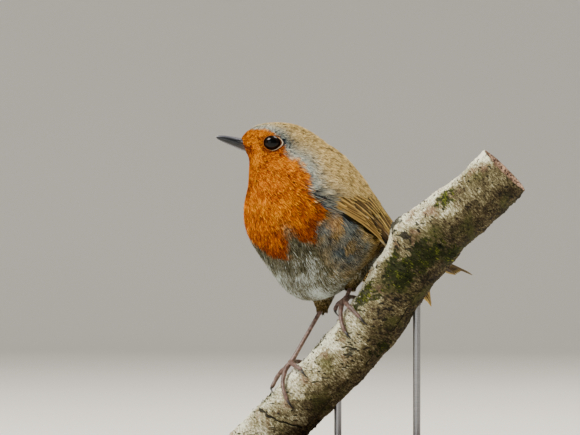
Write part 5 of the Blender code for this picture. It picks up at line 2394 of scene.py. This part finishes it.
@dataclass(frozen=True)
class BillFinish:
    """Horn of the bill: slate above, black below, brown at the gape, painted shade in the nostril.
    """

    slate: Colour = paint(86, 86, 94)
    black: Colour = paint(8, 8, 9)
    brown: Colour = paint(70, 46, 30)

    def material(self) -> bpy.types.Material:
        """Mixes slate and black by height, with fine lines along the bill.

        Returns:
            The material.
        """
        tree = Tree("bill_horn", Coat_Weight=0.3, Coat_Roughness=0.12, Specular_IOR_Level=0.35)
        along, high, sunk = tree.mark("strand")
        lines = tree.noise(300.0, 3.0, tree.place(1.0, 3.0, 3.0))
        top = (high + (lines - 0.5) * 0.5).step(0.4, 0.95)
        gape = along.step(0.22, -0.1) * (1.0 - high) * 0.8
        # Black in the nostril's shallow pit is painted shade.
        colour = tree.layers(self.black, (top, self.slate), (gape, self.brown),
                             (sunk.step(0.05, 0.4), self.black))
        tree.relief(lines, 0.00004)
        return tree.finish(colour, lines * 0.12 + 0.2 + sunk * 0.6)


@dataclass(frozen=True)
class EyeFinish:
    """The eye: black pupil in a very dark brown iris, under a clear wet coat."""

    pupil: Colour = paint(3, 3, 3)
    iris: Colour = paint(20, 10, 5)
    rim: Colour = paint(5, 4, 3)

    def material(self) -> bpy.types.Material:
        """Rings of colour by the distance from the eye's middle.

        Returns:
            The material.
        """
        tree = Tree("eye_gloss", Coat_Weight=0.3, Coat_Roughness=0.03, Specular_IOR_Level=0.02)
        reach, _, _ = tree.mark("strand")
        rays = tree.noise(2500.0, 2.0)
        iris = (reach + (rays - 0.5) * 0.06).step(0.5, 0.56)
        rim = reach.step(0.74, 0.86)
        return tree.finish(tree.layers(self.pupil, (iris, self.iris), (rim, self.rim)), 0.3)


@dataclass(frozen=True)
class ClawFinish:
    """Claws: dark horn, browner at the root, with fine lines along them."""

    root: Colour = paint(66, 50, 42)
    tip: Colour = paint(20, 17, 16)

    def material(self) -> bpy.types.Material:
        """Root to tip, by the share along the claw.

        Returns:
            The material.
        """
        tree = Tree("claw_horn", Coat_Weight=0.3, Coat_Roughness=0.2)
        along, _, _ = tree.mark("strand")
        lines = tree.noise(900.0, 2.0)
        share = (along + (lines - 0.5) * 0.3).step(0.0, 0.4)
        return tree.finish(tree.layers(self.root, (share, self.tip)), lines * 0.15 + 0.25)


@dataclass(frozen=True)
class BarkFinish:
    """Pale grey bark in painted shade towards its front and underside, with brown bands across it,
    dark corky dashes, lichen, and pinkish wood.
    """

    cream: Colour = paint(250, 248, 220)
    pale: Colour = paint(184, 177, 140)
    grey: Colour = paint(112, 103, 70)
    brown: Colour = paint(64, 53, 32)
    dark: Colour = paint(12, 10, 6)
    rusty: Colour = paint(150, 112, 92)
    algae: Colour = paint(96, 100, 44)
    moss: Colour = paint(32, 38, 6)
    wood: Colour = paint(198, 162, 132)
    split: Colour = paint(74, 50, 38)

    def material(self) -> bpy.types.Material:
        """Layers the colours by the bark's own coordinates and marks.

        Returns:
            The material.
        """
        tree = Tree("bark", Specular_IOR_Level=0.25)
        along, around_it, dark_marks_and_shade = tree.mark("bark")
        moss, wood, shade = tree.mark("growth")
        cloud, patch, fine = tree.noise(90.0, 4.0), tree.noise(160.0, 2.0), tree.noise(1300.0, 3.0)
        grain = tree.noise(2.6, 5.0, tree.vector(along * 6.0, around_it * 1.7))
        fleck = tree.noise(3.0, 3.0, tree.vector(along * 12.0, around_it * 4.0))
        # The shade term is painted shade; the noises are the bark's own tones.
        level = shade * 0.64 + (grain - 0.5) * 1.1 + (fleck - 0.5) * 1.1
        level = level + (cloud - 0.5) * 0.9 + 0.15 + (patch - 0.5) * 0.6
        bark_tone_and_shade = tree.ramp(level, ((0.02, self.cream), (0.25, self.pale), (0.5, self.grey),
                                      (0.75, self.brown), (1.0, self.dark)))
        heart = tree.layers(self.split, ((fine * 0.6 + patch * 0.4).step(0.42, 0.58), self.wood))
        speckle = fine - 0.5
        colour = tree.layers(
            bark_tone_and_shade, (patch.step(0.56, 0.7) * shade.step(0.8, 0.4) * 0.4, self.rusty),
            (cloud.step(0.52, 0.7) * 0.35, self.algae),
            # Dark marks, and painted shade in the crack and the scar's hollow.
            ((dark_marks_and_shade + speckle * 0.5).step(0.35, 0.62) * 0.9, self.dark),
            ((moss + speckle * 0.9).step(0.25, 0.9) * 0.9, self.moss), (wood, heart))
        tree.relief(fine * 0.3 + grain * 0.45 + fleck * 0.35, 0.0009)
        return tree.finish(colour, 0.85)


@dataclass(frozen=True)
class MossFinish:
    """Moss leaves: dark at the root and yellow-green at the tip."""

    deep: Colour = paint(8, 11, 2)
    leaf: Colour = paint(44, 54, 10)
    bright: Colour = paint(132, 138, 42)

    def material(self) -> bpy.types.Material:
        """Root to tip, shifted by each tuft's tone.

        Returns:
            The material.
        """
        tree = Tree("moss", Specular_IOR_Level=0.2)
        along, tone, _ = tree.mark("strand")
        stops = ((0.05, self.deep), (0.45, self.leaf), (0.95, self.bright))
        return tree.finish(tree.ramp(along * 0.5 + tone * 0.8 - 0.2, stops), 0.8)


@dataclass(frozen=True)
class StandWoodFinish:
    """Oiled walnut: rings and fibres that run along the base."""

    dark: Colour = paint(52, 32, 20)
    light: Colour = paint(112, 74, 46)

    def material(self) -> bpy.types.Material:
        """Warped bands across the grain and fine pores along it.

        Returns:
            The material.
        """
        tree = Tree("stand_wood", Coat_Weight=0.25, Coat_Roughness=0.3)
        broad = tree.noise(9.0, 4.0, tree.place(3.0, 22.0, 22.0))
        pores = tree.noise(5.0, 2.0, tree.place(12.0, 260.0, 260.0))
        bands = (broad * 34.0).sine() * 0.5 + 0.5
        colour = tree.layers(self.dark, (bands * 0.6 + broad * 0.4, self.light),
                             (pores.step(0.62, 0.72) * 0.5, self.dark))
        tree.relief(pores, 0.00015)
        return tree.finish(colour, broad * 0.2 + 0.3)


@dataclass(frozen=True)
class RodFinish:
    """Brushed steel: fine marks round the rods."""

    steel: Colour = paint(176, 176, 178)
    shade: Colour = paint(126, 126, 130)

    def material(self) -> bpy.types.Material:
        """Streaks across the rod in colour and roughness.

        Returns:
            The material.
        """
        tree = Tree("brushed_rod", Metallic=1.0)
        marks = tree.noise(4.0, 2.0, tree.place(60.0, 60.0, 1500.0))
        return tree.finish(tree.layers(self.shade, (marks, self.steel)), marks * 0.2 + 0.25)


# --- Stand and studio ------------------------------------------------------------------------

@dataclass
class Stand:
    """The plain stand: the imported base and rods, with a turned collar at each rod's foot."""

    nodes: dict[str, bpy.types.Object]
    PROFILE = ((1.55, 0.05), (3.1, 0.05), (3.3, 0.25), (3.3, 0.9), (3.0, 1.3), (2.2, 1.5),
               (1.9, 1.8), (1.55, 1.9))
    SIDES = 48
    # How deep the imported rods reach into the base.
    ROD_SUNK = 0.3
    RODS = ("lower", "upper")

    def collar(self, rod: str) -> Shape:
        """A collar: its profile turned round the rod.

        Args:
            rod: CAD node of the rod.

        Returns:
            The closed ring.
        """
        low, high = box_of(rod)
        middle = (low + high) / 2.0
        radius, height = np.array(self.PROFILE).T[..., None]
        angle = around(self.SIDES)[None]
        return Shape.ringed(stacked(middle[0] + radius * np.cos(angle),
                                    middle[1] + radius * np.sin(angle),
                                    low[2] - self.ROD_SUNK + height))

    def build(self, wood: bpy.types.Material, metal: bpy.types.Material) -> None:
        """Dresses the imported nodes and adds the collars.

        Args:
            wood: Finish of the base.
            metal: Finish of the rods.
        """
        rods = [f"stand_rod_{rod}" for rod in self.RODS]
        for name in ["stand_base"] + rods:
            for slot in self.nodes[name].material_slots:
                slot.material = metal if name in rods else wood
        for rod in rods:
            add_piece(rod.replace("rod", "collar"), self.collar(rod), metal)


@dataclass
class Studio:
    """Pale sweep of floor and backdrop, soft lamps, and the camera."""

    AIM = Vector((-31.2, -9.0, 101.0)) * MM
    DISTANCE = 2150.0
    FIELD = 232.0
    SENSOR = 36.0
    # Floor's front, half width, where it starts to rise, the bend's radius, and the top.
    FRONT_EDGE = -2600.0
    HALF_WIDTH = 3200.0
    RISE_AT = 1900.0
    BEND = 700.0
    TOP = 3600.0
    PAPER = (paint(228, 223, 214), paint(236, 232, 224))
    # Name, place in millimetres, side in metres, watts and colour.
    LAMPS = (("key", (-800.0, -500.0, 1350.0), 0.7, 40.0, (1.0, 0.96, 0.9)),
             ("fill", (-900.0, -1500.0, 500.0), 1.0, 5.0, (0.94, 0.97, 1.0)),
             ("rim", (550.0, 450.0, 1400.0), 0.6, 26.0, (1.0, 0.95, 0.86)))
    SKY = (0.9, 0.95, 1.0, 1.0)
    SKY_STRENGTH = 0.18

    def sweep(self) -> None:
        """Floor that curves up into the backdrop: a quarter circle between two flats."""
        angle = np.linspace(0.0, math.pi / 2.0, 24)
        curve = np.stack([np.sin(angle), 1.0 - np.cos(angle)], axis=1) * self.BEND
        profile = np.vstack([[self.FRONT_EDGE, 0.0], [-600.0, 0.0], [600.0, 0.0],
                             curve + [self.RISE_AT, 0.0], [self.RISE_AT + self.BEND, self.TOP]])
        x = np.linspace(-self.HALF_WIDTH, self.HALF_WIDTH, 9)[None]
        points = stacked(x, profile[:, :1], profile[:, 1:] - 0.05)
        faces = grid_faces(len(profile), x.size, False)
        tree = Tree("studio_paper")
        plain, light = self.PAPER
        mesh = Shape(points.reshape(-1, 3), [faces]).mesh("studio_sweep")
        mesh.materials.append(tree.finish(tree.layers(plain, (tree.noise(3.0, 2.0), light)), 0.9))
        add_object("studio_sweep", mesh)

    def lamp(self, name: str, place: tuple[float, float, float], size: float, power: float,
             colour: tuple[float, float, float]) -> None:
        """A square soft lamp that faces the bird.

        Args:
            name: Name of the lamp.
            place: Where it hangs, in millimetres.
            size: Side of the lamp, in metres.
            power: Watts.
            colour: Its colour.
        """
        data = bpy.data.lights.new(name, "AREA")
        data.size, data.energy, data.color = size, power, colour
        lamp = add_object(name, data)
        lamp.location = Vector(place) * MM
        lamp.rotation_euler = (self.AIM - lamp.location).to_track_quat("-Z", "Y").to_euler()

    def camera(self) -> None:
        """A long lens, level with the bird and straight in front of it."""
        data = bpy.data.cameras.new("camera")
        data.sensor_width = self.SENSOR
        data.lens = self.SENSOR * self.DISTANCE / self.FIELD
        data.clip_start, data.clip_end = 0.05, 20.0
        camera = add_object("camera", data)
        camera.location = self.AIM - Vector((0.0, self.DISTANCE, 0.0)) * MM
        camera.rotation_euler = (math.pi / 2.0, 0.0, 0.0)
        bpy.context.scene.camera = camera

    def build(self) -> None:
        """Sets up floor, lamps, sky and camera."""
        self.sweep()
        for lamp in self.LAMPS:
            self.lamp(*lamp)
        world = bpy.data.worlds.new("studio_sky")
        world.use_nodes = True
        sky = world.node_tree.nodes["Background"].inputs
        sky["Color"].default_value = self.SKY
        sky["Strength"].default_value = self.SKY_STRENGTH
        bpy.context.scene.world = world
        self.camera()


# --- The whole model -------------------------------------------------------------------------

# For each foot: distance along the perch, hip, ankle, and each toe's joints as distance along
# the perch, angle round it, and height over the toe's usual place.
FEET = {
    "right": (27.4, (-17.8, 11.0, 79.0), (-18.2, 6.5, 64.6), {
        "inner": ((27.8, 10.0, 1.1), (28.6, 28.0, 0.9), (29.6, 44.0, 0.2)),
        "middle": ((24.5, 10.0, 1.3), (20.6, 34.0, 1.0), (18.2, 54.0, 0.6), (16.9, 70.0, 0.3)),
        "outer": ((23.8, 1.0, 1.4), (20.4, -1.0, 1.3), (17.2, 2.0, 0.9), (14.6, 10.0, 0.5)),
        "hind": ((28.6, -22.0, 0.8), (29.4, -44.0, 0.4), (29.8, -62.0, 0.1)),
    }),
    "left": (63.6, (-5.6, 2.4, 84.0), (-6.8, -1.4, 73.6), {
        "inner": ((60.4, -2.0, 2.6), (58.0, 0.0, 2.8), (56.2, 6.0, 2.0)),
        "middle": ((60.8, 14.0, 1.6), (57.4, 30.0, 1.2), (54.4, 50.0, 0.6), (53.4, 62.0, 0.2)),
        "outer": ((62.6, 22.0, 1.2), (62.4, 38.0, 0.8), (62.2, 52.0, 0.4), (61.8, 66.0, 0.2)),
        "hind": ((64.8, -20.0, 0.8), (65.4, -42.0, 0.3), (65.8, -60.0, 0.1)),
    }),
}
# Where each thigh's strip starts on the unwrap, across.
STRIPS = (0.03, 0.51)


def main() -> None:
    """Builds every piece in order."""
    form, perch = BodyForm(), PerchForm()
    plumage, scales = PlumageFinish().material(), ScaleFinish().material()
    legs = [Leg(side, perch, along, np.array(hip), np.array(ankle), toes, strip)
            for (side, (along, hip, ankle, toes)), strip in zip(FEET.items(), STRIPS)]
    coat = Coat(form, perch, Markings(form), plumage, Wing.BODY_ROWS)
    Skin(form, perch, coat, legs).build(plumage, scales)
    coat.build()
    for leg in legs:
        leg.dress(plumage)
    quills = QuillFinish().material()
    Wing(form, "left", 1.0).build(quills)
    Wing(form, "right", -1.0).build(quills)
    Tail(form).build(quills)
    Bill().build(BillFinish().material())
    gloss = EyeFinish().material()
    Eye(form).build("left", -1.0, gloss)
    Eye(form).build("right", 1.0, gloss)
    horn = ClawFinish().material()
    for leg in legs:
        leg.arm(horn)
    Bark(perch).build(BarkFinish().material(), MossFinish().material())
    Stand(frame["nodes"]).build(StandWoodFinish().material(), RodFinish().material())
    Studio().build()


if __name__ == "__main__":
    main()
